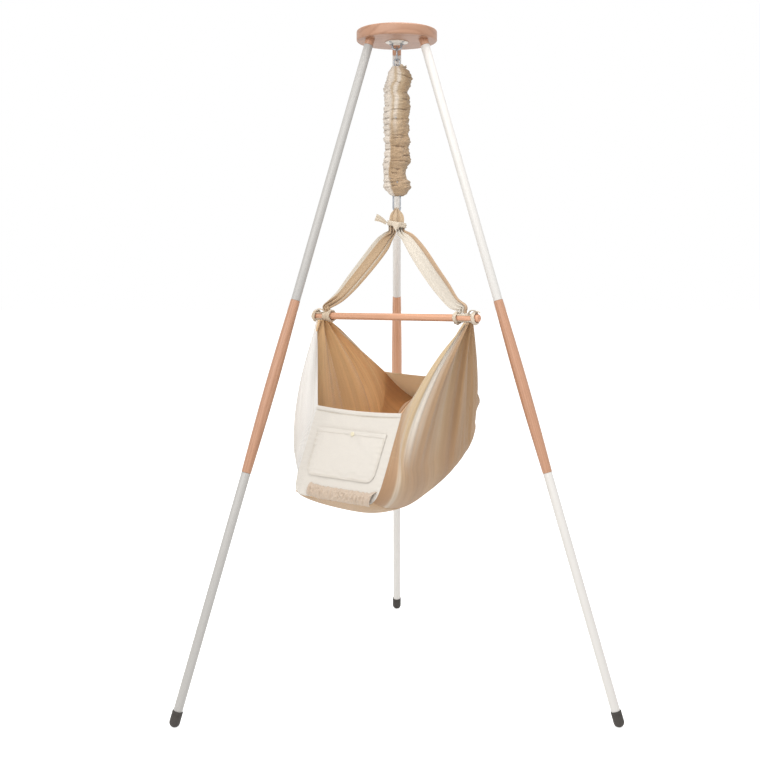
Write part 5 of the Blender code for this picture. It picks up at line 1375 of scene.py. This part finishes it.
class HAMMOCK_OT_slings(PieceOperator, bpy.types.Operator):
    """Shape the two sling bands from the neck down to the bar."""

    bl_idname = "hammock.slings"
    bl_label = "Slings"

    def execute(self, context):
        inverse = CRADLE_FRAME.inverted()
        # Each sling's face and hem strip as lit and shaded tones of one cloth: painted light and shade
        sling_lit_and_shaded = {"left": ((0.60, 0.42, 0.255), (0.74, 0.66, 0.55)), "right": ((0.76, 0.69, 0.59), (0.55, 0.38, 0.24))}
        for name, side in SIDES.items():
            high = inverse @ Vector((side * 0.0120, AXIS_Y, NECK_HEIGHT - GAP))
            low = along_bar(side * SLING_END_REACH, WRAP_RADIUS + GAP)
            foot = high - Vector((0.0, 0.0, 0.014))
            points = [high, high.lerp(foot, 0.5), foot]
            points += [Vector((x, low.y * x / low.x, height)) for x, height, width in SLING_ROUTES[name]]
            points += [low + Vector((0.0, 0.0, 0.0170)), low + Vector((0.0, 0.0, 0.0085)), low]
            widths = [0.0112] * 3 + [width for x, height, width in SLING_ROUTES[name]] + [0.0120] * 3
            thick = [0.0095] * 4 + [0.0060] * 4 + [0.0078] + [0.0105] * 3
            turns = [1.0] * 4 + [0.7, 0.3] + [0.0] * 6
            steps = 14
            sideways = Vector((1.0, 0.0, 0.0))
            neck_sideways = inverse.to_3x3() @ sideways
            across = [sideways.lerp(neck_sideways, turn) for turn in eased(turns, steps)]
            band = ribbon("sling_band_" + name, smooth_route(points, steps), eased(widths, steps), eased(thick, steps),
                          across, 3.0, hem=0.002 * side, matrix=CRADLE_FRAME, steps=96, seed=3.0 + side,
                          phase=0.6 * side, crisp=0.9, calm=0.9)
            self.tint(band, name, *sling_lit_and_shaded[name])
            rides(band, "cradle", "cotton", "sling_" + name)
        return {"FINISHED"}

    def tint(self, band, name, face, edge):
        """The band's face in one colour and the strip along its outer hem in the other: painted light and shade on one
        cloth.
        """
        wear(band, cloth_finish("sling_face_" + name, face, darker(face, 0.85)),
             cloth_finish("sling_edge_" + name, edge, darker(edge, 0.85)))
        weave_map = band.data.uv_layers["weave"]
        width = max(loop.uv[0] for loop in weave_map.data)
        for face_of in band.data.polygons:
            place = sum(weave_map.data[loop].uv[0] for loop in face_of.loop_indices) / len(face_of.loop_indices)
            share = place / width
            outer = share < 0.20 if name == "left" else share > 0.74
            if outer or (name == "left" and 0.66 < share < 0.74):
                face_of.material_index = 1


class HAMMOCK_OT_bar(PieceOperator, bpy.types.Operator):
    """Turn the wooden spreader bar."""

    bl_idname = "hammock.bar"
    bl_label = "Spreader bar"

    def execute(self, context):
        place = CRADLE_FRAME @ Matrix.Translation(along_bar(0.0, 0.0)) @ Matrix.Rotation(pi / 2 - BAR_TILT, 4, "Y")
        bar = turned("bar", rod(BAR_RADIUS, BAR_LENGTH / 2, -BAR_LENGTH / 2, 0.0030), place, steps=64)
        rides(wear(bar, finish("bar_wood")), "cradle", "beech", "spreader_bar")
        return {"FINISHED"}


def round_bar(radius, angle, height):
    """A point by its distance from the bar's axis, its angle round it and its place along it."""
    return Vector((radius * cos(angle), radius * sin(angle), height))


class HAMMOCK_OT_bar_ties(PieceOperator, bpy.types.Operator):
    """Wrap the cloth ties round the bar's ends, with their knots and loose ends."""

    bl_idname = "hammock.bar_ties"
    bl_label = "Bar ties"

    def execute(self, context):
        tints = {"left": (0.66, 0.53, 0.385), "right": (0.72, 0.62, 0.49)}
        for name, side in SIDES.items():
            place = (CRADLE_FRAME @ Matrix.Translation(along_bar(side * BAR_TIE_REACH, 0.0))
                     @ Matrix.Rotation(pi / 2 - BAR_TILT, 4, "Y"))
            tint = cloth_finish("tie_cotton_" + name, tints[name], darker(tints[name], 0.82))
            pieces = []
            for index, centre in enumerate((-BAR_TURN_PLACE, BAR_TURN_PLACE)):
                pieces.append(self.turn_of_cloth("bar_turn_%s_%d" % (name, index), centre, place, index + side))
            pieces.append(self.back_of_tie("bar_wrap_" + name, place))
            if name == "left":
                pieces.append(self.front_of_tie("bar_front_" + name, place))
            wraps = join("bar_tie_cloth_" + name, pieces)
            rides(wear(wraps, tint), "cradle", "cotton", "bar_tie_" + name)
            ends = self.loose_ends(name, side, place, tint)
        return {"FINISHED"}

    def turn_of_cloth(self, name, centre, place, seed):
        """One thick twisted turn round the bar."""
        def turn_point(share, t):
            angle = tau * share
            turn = pi * (t + 1.0)
            twist = 0.00055 * sin(3 * turn + 5 * angle + seed) + 0.0004 * sin(2 * turn - 7 * angle)
            outward = BAR_TURN_RADIUS * (1.0 + 0.10 * sin(2 * angle + seed)) + twist
            return round_bar(BAR_RADIUS + GAP + 0.0047 + outward * cos(turn), angle,
                             centre + (0.0055 + twist) * sin(turn) + 0.0014 * sin(angle + seed))

        return cloth_mesh(name, grid(64, 24, turn_point), matrix=place, thickness=0.0)

    def back_of_tie(self, name, place):
        """The thin cloth between the two turns, open in front where the bar shows."""
        def back_point(share, t):
            height = -0.0270 + 0.0540 * share
            angle = radians(90.0 + 142.0 * t)
            wave = 0.0005 * sin(height * 900.0 + 3.0 * sin(angle))
            return round_bar(BAR_RADIUS + GAP + 0.0011 + wave, angle, height)

        return cloth_mesh(name, grid(32, 48, back_point), matrix=place, thickness=0.0010, offset=0.0)

    def front_of_tie(self, name, place):
        """The broad wrap that also covers the bar's front, at the tie's inner end."""
        def front_point(share, t):
            height = 0.0050 + 0.0215 * share
            angle = pi * (t + 1.0)
            wave = 0.0007 * sin(height * 700.0 + 2.0 * sin(angle) + 1.0)
            return round_bar(BAR_RADIUS + GAP + 0.0032 + wave, angle, height + 0.0012 * sin(angle))

        return cloth_mesh(name, grid(18, 64, front_point, closed=True), matrix=place, closed=True, thickness=0.0010,
                          offset=0.0)

    def loose_ends(self, name, side, place, tint):
        """The knot's loose ends: above the bar on the left, behind and beyond it on the right."""
        if side < 0:
            paths = [[(-0.012, 0.004, 0.012), (-0.017, 0.006, -0.006), (-0.0215, 0.004, -0.026)],
                     [(-0.011, -0.006, 0.012), (-0.0185, -0.008, 0.002), (-0.0195, -0.006, -0.014)]]
        else:
            paths = [[(-0.012, 0.002, 0.018), (-0.0185, 0.002, 0.029), (-0.0165, 0.000, 0.042)],
                     [(-0.010, -0.007, 0.010), (-0.0200, -0.009, 0.020), (-0.0215, -0.008, 0.032)]]
        pieces = []
        for index, path in enumerate(paths):
            route = smooth_route(path, 8)
            upright = [Vector((0.0, 1.0, 0.0))] * len(route)
            pieces.append(ribbon("end_%s_%d" % (name, index), route, eased([0.0035, 0.0055, 0.0072], 8),
                                 eased([0.0018, 0.0016, 0.0014], 8), upright, 2.0, matrix=place, steps=20,
                                 thickness=0.0010, seed=index + side))
        ends = join("bar_tie_ends_" + name, pieces)
        return rides(wear(ends, tint), "cradle", "cotton")


def side_rows(side, rows_below=30, rows_above=52, columns=150):
    """Rows of points on a side panel, from its seam with the base up to the gather, and their normals."""
    marks = [-1.0 + 2.0 * index / columns for index in range(columns + 1)]
    start = BASE_SEAM_ANGLE
    plain = []
    for row in range(rows_below):
        angle = start + (pi / 2 - start) * row / rows_below
        plain.append([below_rim(mark, angle * side) for mark in marks])
    for row in range(rows_above + 1):
        plain.append([above_rim(mark, row / rows_above, side) for mark in marks])
    last = len(plain) - 1
    crease_depth = settings().cloth.crease_depth
    rows = []
    outs = []
    for index, row in enumerate(plain):
        rise = index / last
        depth = FAN_FOLD_DEPTH * min(rise / 0.6, 1.0) ** 2
        fine = crease_depth * min(rise / 0.5, 1.0) ** 1.5 * (1.0 - 0.55 * max(rise - 0.8, 0.0) / 0.2)
        line = []
        normals = []
        for place, mark in enumerate(marks):
            above = plain[min(index + 1, last)][place] - plain[max(index - 1, 0)][place]
            beside = row[min(place + 1, columns)] - row[max(place - 1, 0)]
            outward = (beside.cross(above) * side).normalized()
            outward = outward.lerp(Vector((side, 0.0, 0.0)), rise ** 4).normalized()
            edge = min((1.0 - abs(mark)) / 0.06, 1.0)
            soft = 0.0022 * ripple(mark * 2.3 + side * 3.0, rise * 3.1, 1.0) * min(rise / 0.2, 1.0) * edge
            push = depth * fold_wave(mark) + fine * fine_wave(mark, rise, side) * edge + soft
            line.append(row[place] + outward * push)
            normals.append(outward)
        rows.append(line)
        outs.append(normals)
    return rows, outs


class HAMMOCK_OT_side_panels(PieceOperator, bpy.types.Operator):
    """Shape the two side panels: seam, belly, fan of folds and hems."""

    bl_idname = "hammock.side_panels"
    bl_label = "Side panels"

    def execute(self, context):
        for name, side in SIDES.items():
            rows, outs = side_rows(side)
            for line, normals in zip(rows, outs):
                for index in range(len(line)):
                    line[index] += normals[index] * HALF_CLOTH
            ordered = [line[::-1] for line in rows] if side < 0 else rows
            panel = cloth_mesh("side_cloth_" + name, ordered, matrix=CRADLE_FRAME, thickness=CLOTH_THICKNESS,
                               two_faced=True)
            wear(panel, finish("side_out_" + name), finish("side_in_" + name))
            rides(panel, "cradle", "cotton", "side_panel_" + name)
            hem = join("side_stitches_" + name,
                       [stitches("hem_stitches", [line[column] for line in rows[26:-2]],
                                 [normals[column] for normals in outs[26:-2]], matrix=CRADLE_FRAME)
                        for column in (2, -3)])
            rides(hem, "cradle", "cotton")
            corded("seam_piping_" + name, rows[0], "tan_cotton", "cotton", PIPING_RADIUS)
        return {"FINISHED"}


class HAMMOCK_OT_base(PieceOperator, bpy.types.Operator):
    """Shape the base panel between the side seams."""

    bl_idname = "hammock.base"
    bl_label = "Base panel"

    def execute(self, context):
        def base_point(share, mark):
            angle = -BASE_SEAM_ANGLE + 2.0 * BASE_SEAM_ANGLE * share
            point = below_rim(mark, angle)
            edge = min((BASE_SEAM_ANGLE - abs(angle)) / 0.1, 1.0)
            point.z -= HALF_CLOTH + edge * 0.0010 * (0.5 + 0.5 * ripple(mark * 3.0, angle * 4.0, 9.0))
            return point

        base = cloth_mesh("base_cloth", grid(40, 120, base_point), matrix=CRADLE_FRAME, thickness=CLOTH_THICKNESS,
                          two_faced=True)
        wear(base, finish("tan_cotton"), finish("ochre_cotton"))
        rides(base, "cradle", "cotton", "base_panel")
        return {"FINISHED"}


def end_place(station):
    """An end panel's frame, X across, Y up it, Z outwards, and its length."""
    keel_along, keel_height = keel_point(station)
    along, height = rim_point(station)[1:]
    up = Vector((0.0, along - keel_along, height - keel_height))
    upward = up.normalized()
    across = Vector((-station, 0.0, 0.0))
    turn = Matrix((across, upward, across.cross(upward))).transposed().to_4x4()
    return CRADLE_FRAME @ Matrix.Translation((0.0, keel_along, keel_height)) @ turn, up.length


def end_half_width(station, share):
    """An end panel's half width at a share of the way up it."""
    power = squareness(station)
    return RIM_END_HALF_WIDTH * max(1.0 - (1.0 - min(share, 1.0)) ** power, 0.0) ** (1.0 / power)


def hem_height(length, sag, x):
    """How high an end panel's upper hem is at a distance from its middle."""
    return length - sag * (1.0 - (x / RIM_END_HALF_WIDTH) ** 2)


def panel_relief(x, y, length):
    """How far the foot panel's cloth stands out at a place: soft dents, and puckers along its seams."""
    share = y / length
    half = max(end_half_width(-1.0, share), 0.001)
    edge = 1.0 - min(abs(x) / half, 1.0)
    pucker = 0.0011 * exp(-edge * 9.0) * sin(y * 420.0 + 2.0 * ripple(x * 20.0, y * 20.0))
    foot = 0.0050 * exp(-y / 0.018) * sin(x * 210.0 + 3.0 * ripple(x * 14.0, 2.0))
    dents = 0.0016 * ripple(x * 11.0, y * 9.0, 4.0) + 0.0007 * ripple(x * 34.0 + y * 12.0, y * 22.0, 8.0)
    inside = min(edge * 8.0, 1.0)
    return pucker + foot + dents * inside


class HAMMOCK_OT_foot_panel(PieceOperator, bpy.types.Operator):
    """Shape the canvas foot panel, its hem and the ruffled roll along its foot."""

    bl_idname = "hammock.foot_panel"
    bl_label = "Foot panel"

    def execute(self, context):
        place, length = end_place(-1.0)

        def panel_point(level, t):
            share = level ** 1.35
            x = t * (max(end_half_width(-1.0, share), 0.004) + 0.0002)
            y = length * share - FOOT_HEM_SAG * (1.0 - t * t) * share ** 3
            return Vector((x, y, HALF_CLOTH + panel_relief(x, y, length) * 0.5))

        panel = cloth_mesh("foot_cloth", grid(88, 96, panel_point), matrix=place, thickness=CLOTH_THICKNESS,
                           two_faced=True)
        wear(panel, finish("canvas"), finish("ochre_cotton"))
        rides(panel, "cradle", "canvas", "foot_panel")

        def hem_point(share, t):
            x = 0.1428 * t
            return Vector((x, hem_height(length, FOOT_HEM_SAG, x) - 0.012 - 0.0018 * share, 0.0012))

        hem = sewn_rows("foot_panel_stitches", grid(1, 102, hem_point), place, "canvas")
        fold = self.hem_fold(place, length)
        self.ruffles(place)
        return {"FINISHED"}

    def hem_fold(self, place, length):
        """The folded-over strip along the panel's upper edge."""
        def fold_point(rise, t):
            x = RIM_END_HALF_WIDTH * t
            y = hem_height(length, FOOT_HEM_SAG, x) - 0.0105 + 0.0110 * rise
            return Vector((x, y, 0.0014 + 0.0007 * sin(pi * rise) + 0.0002 * sin(t * 60.0)))

        fold = cloth_mesh("foot_hem_fold", grid(6, 80, fold_point), matrix=place, thickness=0.0009, offset=0.0)
        return fitted(fold, "canvas", "cradle")

    def ruffles(self, place):
        """The gathered strip along the panel's foot, puffed in uneven ruffles, with an ear at its right end."""
        def ruffle_point(up, t):
            sway = ripple(t * 3.0, up * 1.5, 6.0)
            ruffle = sin(t * 40.0 + 5.0 * sway) * 0.6 + sin(t * 71.0 - 4.0 * sway + up * 2.0) * 0.4
            ear = max(t - 0.86, 0.0) / 0.14
            puff = sin(pi * min(up * 1.06, 1.0)) ** 0.6
            rise = 0.020 * max(-t - 0.55, 0.0) ** 1.5 + 0.0022 * ripple(t * 9.0, 3.0) * up
            y = -0.0015 + 0.036 * up + rise + 0.0020 * ruffle * (up - 0.4) + 0.006 * ear * up
            z = 0.0026 + (0.0068 + 0.0034 * ruffle + 0.0030 * ripple(t * 12.0, up * 5.0, 2.0) + 0.006 * ear) * puff
            return Vector((t * 0.1130 + 0.019 + 0.008 * ear * up, y, z))

        roll = cloth_mesh("foot_ruffles", grid(30, 240, ruffle_point), matrix=place, thickness=0.0010, offset=0.0)
        rides(wear(roll, finish("ruffle_canvas")), "cradle", "canvas", "foot_hem")


def pocket_half_width(y):
    """The pocket's half width at a height over its foot, with its round lower corners."""
    slope = (POCKET_TOP_HALF_WIDTH - POCKET_BOTTOM_HALF_WIDTH) / POCKET_HEIGHT
    if y < POCKET_CORNER:
        inward = POCKET_CORNER - sqrt(max(POCKET_CORNER ** 2 - (POCKET_CORNER - y) ** 2, 0.0))
        return POCKET_BOTTOM_HALF_WIDTH - inward
    return POCKET_BOTTOM_HALF_WIDTH + slope * y


class HAMMOCK_OT_pocket(PieceOperator, bpy.types.Operator):
    """Shape the patch pocket with its hem, stitches, creases and press stud."""

    bl_idname = "hammock.pocket"
    bl_label = "Pocket"

    def execute(self, context):
        panel_place, length = end_place(-1.0)
        place = panel_place @ Matrix.Translation((0.0, length - POCKET_TOP_DROP - POCKET_HEIGHT, PANEL_SEAT))

        def pocket_point(share, t):
            y = POCKET_HEIGHT * share
            half = pocket_half_width(max(y, 0.0004))
            return Vector((t * half, y, self.height(t * half, y, half)))

        pocket = cloth_mesh("pocket_cloth", grid(70, 100, pocket_point), matrix=place, thickness=0.0011)
        fitted(pocket, "canvas", "pocket_front", "pocket")
        sewn = self.seams(place)
        fold = self.hem_fold(place)
        self.press_stud(place @ Matrix.Translation((SNAP_SHIFT, POCKET_HEIGHT - SNAP_DROP, 0.0)))
        return {"FINISHED"}

    def height(self, x, y, half):
        """How far the pocket's cloth stands off the panel at a place."""
        edge = min((half - abs(x)) / 0.030, 1.0, (y + 0.0005) / 0.030)
        edge = max(edge, 0.0)
        belly = 0.0020 + 0.0022 * edge ** 0.6
        crease = 0.0009 * ripple(x * 22.0 + y * 30.0, y * 8.0, 2.0) + 0.0006 * ripple(x * 55.0, y * 16.0, 5.0)
        pull = 0.0005 * sin(y * 380.0 + 4.0 * ripple(x * 30.0, y * 10.0)) * (1.0 - edge)
        return belly + (crease * edge + pull) * min((POCKET_HEIGHT - y) / 0.010, 1.0)

    def hem_fold(self, place):
        """The folded hem across the pocket's mouth."""
        def fold_point(rise, t):
            y = POCKET_HEIGHT - 0.0120 + 0.0122 * rise
            half = pocket_half_width(min(y, POCKET_HEIGHT))
            return Vector((t * half, y, self.height(t * half, min(y, POCKET_HEIGHT), half) + 0.0002
                           + 0.0005 * sin(pi * rise)))

        fold = cloth_mesh("pocket_hem_fold", grid(6, 100, fold_point), matrix=place, thickness=0.0006, offset=1.0)
        return fitted(fold, "canvas", "pocket_front")

    def seams(self, place):
        """Two rows of stitches round the pocket and one under its hem."""
        sewn = []
        for inset in (0.0016, 0.0052):
            route = []
            for step in range(61):
                y = POCKET_HEIGHT - (POCKET_HEIGHT - inset) * step / 60
                half = pocket_half_width(max(y - inset * 0.6, 0.0004)) - inset
                route.append(Vector((-half, y, self.height(half, y, half + inset))))
            bottom = len(route)
            for step in range(1, 60):
                x = route[bottom - 1].x * (1.0 - 2.0 * step / 60)
                route.append(Vector((x, inset, self.height(x, inset, POCKET_BOTTOM_HALF_WIDTH))))
            for point in reversed(route[:bottom]):
                route.append(Vector((-point.x, point.y, point.z)))
            sewn.append(stitches("pocket_seam", route, matrix=place))
        y = POCKET_HEIGHT - 0.0112
        half = pocket_half_width(y)
        route = [Vector((half * (-0.98 + 1.96 * step / 80), y, self.height(half * (-0.98 + 1.96 * step / 80), y, half)
                         + 0.0006)) for step in range(81)]
        sewn.append(stitches("pocket_hem_row", route, matrix=place))
        return rides(join("pocket_stitches", sewn), "pocket_front", "canvas")

    def press_stud(self, spot):
        """The stud's domed cap and its socket on the pocket, and its post on the panel."""
        outer = POCKET_DEPTH + 0.0016
        top = outer + GAP + 0.0021
        profile = [(0.0, top - 0.0002), (0.0022, top - 0.0001), (0.0040, top)] + arc((0.0050, top - 0.0014), 0.0014,
                                                                                    80.0, 0.0, 5)
        profile += [(SNAP_RADIUS, outer + 0.0004), (SNAP_RADIUS, outer), (0.0, outer)]
        cap = turned("stud_cap", profile, spot, steps=48)
        fitted(cap, "snap_plastic", "pocket_front", "snap_cap")
        high = POCKET_DEPTH - GAP
        ring = [(0.0023, high), (0.0050, high), (0.0052, high - 0.0004), (0.0050, high - 0.0014),
                (0.0023, high - 0.0014), (0.0023, high)]
        socket = turned("stud_socket", ring, spot, steps=40)
        fitted(socket, "snap_plastic", "pocket_front", "snap_socket")
        post = [(0.0, high - GAP), (0.0016, high - GAP), (0.0020, high - GAP - 0.0005), (0.0018, 0.0008),
                (0.0050, 0.0007), (0.0052, 0.0), (0.0, 0.0)]
        stud = turned("stud_post", post, spot, steps=40)
        fitted(stud, "snap_plastic", "cradle", "snap_stud")


def head_fold(x, y):
    """How far the head panel's soft folds stand out at a place."""
    return 0.0014 * ripple(x * 16.0, y * 5.0, 12.0) + 0.0008 * ripple(x * 40.0, y * 9.0, 14.0)


class HAMMOCK_OT_head_panel(PieceOperator, bpy.types.Operator):
    """Shape the head panel and its hem."""

    bl_idname = "hammock.head_panel"
    bl_label = "Head panel"

    def execute(self, context):
        place, length = end_place(1.0)

        def panel_point(level, t):
            share = level ** 1.3
            x = t * (max(end_half_width(1.0, share), 0.004) + 0.0002)
            y = length * share - HEAD_HEM_SAG * (1.0 - t * t) * share ** 3
            return Vector((x, y, HALF_CLOTH + head_fold(x, y) * min((1.0 - abs(t)) * 6.0, 1.0)))

        panel = cloth_mesh("head_cloth", grid(64, 80, panel_point), matrix=place, thickness=CLOTH_THICKNESS,
                           two_faced=True)
        wear(panel, finish("tan_cotton"), finish("head_in"))
        rides(panel, "cradle", "cotton", "head_panel")

        def hem_point(share, t):
            x = 0.146 * t
            y = hem_height(length, HEAD_HEM_SAG, x) - 0.011 - 0.002 * share
            return Vector((x, y, 0.0010 + head_fold(x, y)))

        hem = sewn_rows("head_panel_stitches", grid(1, 100, hem_point), place, "cotton")
        return {"FINISHED"}


class HAMMOCK_OT_mattress(PieceOperator, bpy.types.Operator):
    """Shape the mattress: crowned, drawn in at its sewn channels and piped round its edge."""

    bl_idname = "hammock.mattress"
    bl_label = "Mattress"

    def execute(self, context):
        count = 150
        across_count = 64
        upper = []
        lower = []
        edge_line = {-1: [], 1: []}
        for place in range(count + 1):
            share = -1.0 + 2.0 * place / count
            station = MATTRESS_MIDDLE + share * MATTRESS_HALF_SPAN
            end_taper = 1.0 - 0.20 * abs(share) ** 8
            round_end = (1.0 - abs(share) ** 14) ** 0.5
            half_width = MATTRESS_HALF_WIDTH * (1.0 - 0.10 * share ** 8) * (0.94 + 0.06 * round_end)
            over = []
            under = []
            for step in range(across_count + 1):
                reach = -1.0 + 2.0 * step / across_count
                x = half_width * reach
                point = hull_floor(station, x)
                ahead = hull_floor(station + 0.02, x) - hull_floor(station - 0.02, x)
                beside = hull_floor(station, x + 0.002) - hull_floor(station, x - 0.002)
                inward = beside.cross(ahead).normalized()
                rim = (1.0 - abs(reach) ** 11) * (1.0 - abs(share) ** 26)
                channel = cos(pi * share * 5.0) ** 2
                seam = 1.0 - 0.16 * (1.0 - channel) ** 10 * (1.0 - reach ** 6)
                crown = MATTRESS_THICKNESS * end_taper * (0.86 + 0.14 * max(rim, 0.0) ** 0.5) * seam
                crown += 0.0007 * ripple(reach * 5.0, share * 16.0, 3.0)
                crown += MATTRESS_HEAD_RISE * max(share, 0.0) ** 2
                under.append(point + inward * (MATTRESS_LIFT + 0.0004))
                over.append(point + inward * (MATTRESS_LIFT + crown))
            upper.append(over)
            lower.append(under)
            for side, column in ((-1, 0), (1, -1)):
                edge_line[side].append(over[column].lerp(under[column], 0.10))
        rows = []
        for over, under in zip(upper, lower):
            left = [over[0].lerp(under[0], step / 5) for step in range(1, 5)]
            right = [under[-1].lerp(over[-1], step / 5) for step in range(1, 5)]
            for band, outward in ((left, -1.0), (right, 1.0)):
                for step, point in enumerate(band):
                    point.x += outward * 0.0030 * sin(pi * (step + 1) / 5)
            rows.append(list(reversed(over)) + left + under + right)
        mattress = cloth_mesh("mattress_pad", rows, matrix=CRADLE_FRAME, closed=True, thickness=0.0)
        only(mattress)
        bpy.ops.object.mode_set(mode="EDIT")
        bpy.ops.mesh.select_all(action="DESELECT")
        bpy.ops.mesh.select_non_manifold()
        bpy.ops.mesh.edge_face_add()
        fitted(welded(mattress, 50.0), "mattress_cover", "cradle", "mattress")
        loop = edge_line[-1] + edge_line[1][::-1]
        # The piping's near-black brown stands for the shadow gap along the mattress's edge: painted shadow
        corded("mattress_piping", loop, "dark_piping", "mattress_cover", 0.0019, closed=True)
        return {"FINISHED"}


class HAMMOCK_OT_inner_metal(PieceOperator, bpy.types.Operator):
    """Finish the threaded studs inside the legs, whose CAD shape stays."""

    bl_idname = "hammock.inner_metal"
    bl_label = "Studs"

    def execute(self, context):
        for name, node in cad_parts.items():
            if "_stud_" in name:
                wear(node, finish("zinc"))
        return {"FINISHED"}


class HAMMOCK_OT_stage(PieceOperator, bpy.types.Operator):
    """Lay the floor, light the hammock softly and set the camera."""

    bl_idname = "hammock.stage"
    bl_label = "Stage"

    def execute(self, context):
        own = settings().stage
        deselect()
        bpy.ops.mesh.primitive_plane_add(size=60.0, location=(0.0, 0.0, -0.0004))
        floor = settle(bpy.context.object)
        floor.name = "floor"
        wear(floor, self.floor_finish())
        world = bpy.data.worlds.new("studio")
        world.use_nodes = True
        context.scene.world = world
        self.world_light(world.node_tree, own.ambient)
        self.lamp("key", (-2.6, -2.9, 2.7), (0.0, -0.15, 0.95), own.key, 1.9, (1.0, 0.985, 0.965))
        self.lamp("fill", (1.9, -2.3, 3.1), (-0.05, -0.15, 0.8), own.fill, 1.6, (1.0, 0.99, 0.98))
        self.lamp("top", (0.3, -0.6, 3.9), (0.0, -0.2, 0.9), own.top, 1.6, (1.0, 1.0, 1.0))
        self.lamp("front", (-0.7, -3.6, 2.8), (-0.05, -0.15, 0.9), own.front, 1.8, (1.0, 1.0, 1.0))
        camera_data = bpy.data.cameras.new("camera")
        camera_data.lens = CAMERA_LENS
        camera_data.sensor_width = CAMERA_SENSOR
        camera_data.shift_x = CAMERA_SHIFT
        camera_data.clip_end = 100.0
        camera = new_object("camera", camera_data)
        camera.location = CAMERA_PLACE
        camera.rotation_euler = (radians(90.0 - CAMERA_DOWN), 0.0, 0.0)
        context.scene.camera = camera
        context.scene.view_settings.view_transform = "Standard"
        return {"FINISHED"}

    def seen_directly(self, tree):
        """Whether the camera sees a surface directly, in a reflection or through glass."""
        path = add(tree, "LightPath")
        seen = maths(tree, "MAXIMUM", path.outputs["Is Camera Ray"], path.outputs["Is Glossy Ray"])
        return maths(tree, "MAXIMUM", seen, path.outputs["Is Transmission Ray"])

    def floor_finish(self):
        """A white floor that keeps a soft part of the shadow."""
        material, tree, shader, place = new_finish("floor_paper", (0.86, 0.86, 0.86), 0.9)
        shader.inputs["Specular IOR Level"].default_value = 0.0
        grain = texture(tree, "Noise", place, Scale=60.0)
        paper = specked(tree, grain, 0.02, (0.87, 0.87, 0.87), (0.84, 0.84, 0.84))
        tree.links.new(paper, shader.inputs["Base Color"])
        seen = maths(tree, "MULTIPLY", self.seen_directly(tree), 0.62)
        glow = add(tree, "Emission", Color=(1.0, 1.0, 1.0, 1.0), Strength=seen)
        both = add(tree, "AddShader", i0=shader.outputs[0], i1=glow.outputs[0])
        tree.links.new(both.outputs[0], tree.nodes["Material Output"].inputs["Surface"])
        return material

    def world_light(self, tree, ambient):
        """Even light from all round, white where it is seen."""
        background = tree.nodes["Background"]
        background.inputs["Color"].default_value = (1.0, 1.0, 1.0, 1.0)
        seen = self.seen_directly(tree)
        tree.links.new(ranged(tree, seen, ambient, 1.0), background.inputs["Strength"])

    def lamp(self, name, place, target, power, size, colour):
        """A square soft lamp that faces a target."""
        data = bpy.data.lights.new(name, "AREA")
        data.energy = power
        data.size = size
        data.color = colour
        lamp = new_object(name, data)
        lamp.location = place
        lamp.rotation_euler = (Vector(target) - Vector(place)).to_track_quat("-Z", "Y").to_euler()


class HammockSettings(bpy.types.PropertyGroup):
    """All settings of the add-on."""

    stand: bpy.props.PointerProperty(type=StandSettings, name="Stand", description="The stand's settings")
    hanger: bpy.props.PointerProperty(type=HangerSettings, name="Hanger", description="The hardware's settings")
    cloth: bpy.props.PointerProperty(type=ClothSettings, name="Cloth", description="The cloth's settings")
    stage: bpy.props.PointerProperty(type=StageSettings, name="Stage", description="The stage's settings")


OPERATORS = (HAMMOCK_OT_disc, HAMMOCK_OT_legs, HAMMOCK_OT_eye_plate, HAMMOCK_OT_snap_hooks, HAMMOCK_OT_spring,
             HAMMOCK_OT_sleeve, HAMMOCK_OT_neck, HAMMOCK_OT_bar, HAMMOCK_OT_slings, HAMMOCK_OT_bar_ties,
             HAMMOCK_OT_side_panels, HAMMOCK_OT_base, HAMMOCK_OT_foot_panel, HAMMOCK_OT_pocket,
             HAMMOCK_OT_head_panel, HAMMOCK_OT_mattress, HAMMOCK_OT_inner_metal, HAMMOCK_OT_stage)


class HAMMOCK_PT_pieces(bpy.types.Panel):
    """The hammock's pieces and settings."""

    bl_idname = "HAMMOCK_PT_pieces"
    bl_label = "Baby hammock"
    bl_space_type = "VIEW_3D"
    bl_region_type = "UI"
    bl_category = "Hammock"

    def draw(self, context):
        for group in ("stand", "hanger", "cloth", "stage"):
            box = self.layout.box()
            box.label(text=group.capitalize())
            own = getattr(context.scene.hammock, group)
            for name in own.__annotations__:
                box.prop(own, name)
        for operator in OPERATORS:
            self.layout.operator(operator.bl_idname)


CLASSES = (StandSettings, HangerSettings, ClothSettings, StageSettings, HammockSettings, *OPERATORS,
           HAMMOCK_PT_pieces)


def register():
    """Register the classes and the scene's settings."""
    for item in CLASSES:
        bpy.utils.register_class(item)
    bpy.types.Scene.hammock = bpy.props.PointerProperty(type=HammockSettings)


def unregister():
    """Take the classes and the settings away again."""
    del bpy.types.Scene.hammock
    for item in reversed(CLASSES):
        bpy.utils.unregister_class(item)


def main():
    register()
    for operator in OPERATORS:
        group, name = operator.bl_idname.split(".")
        getattr(getattr(bpy.ops, group), name)()


if __name__ == "__main__":
    main()
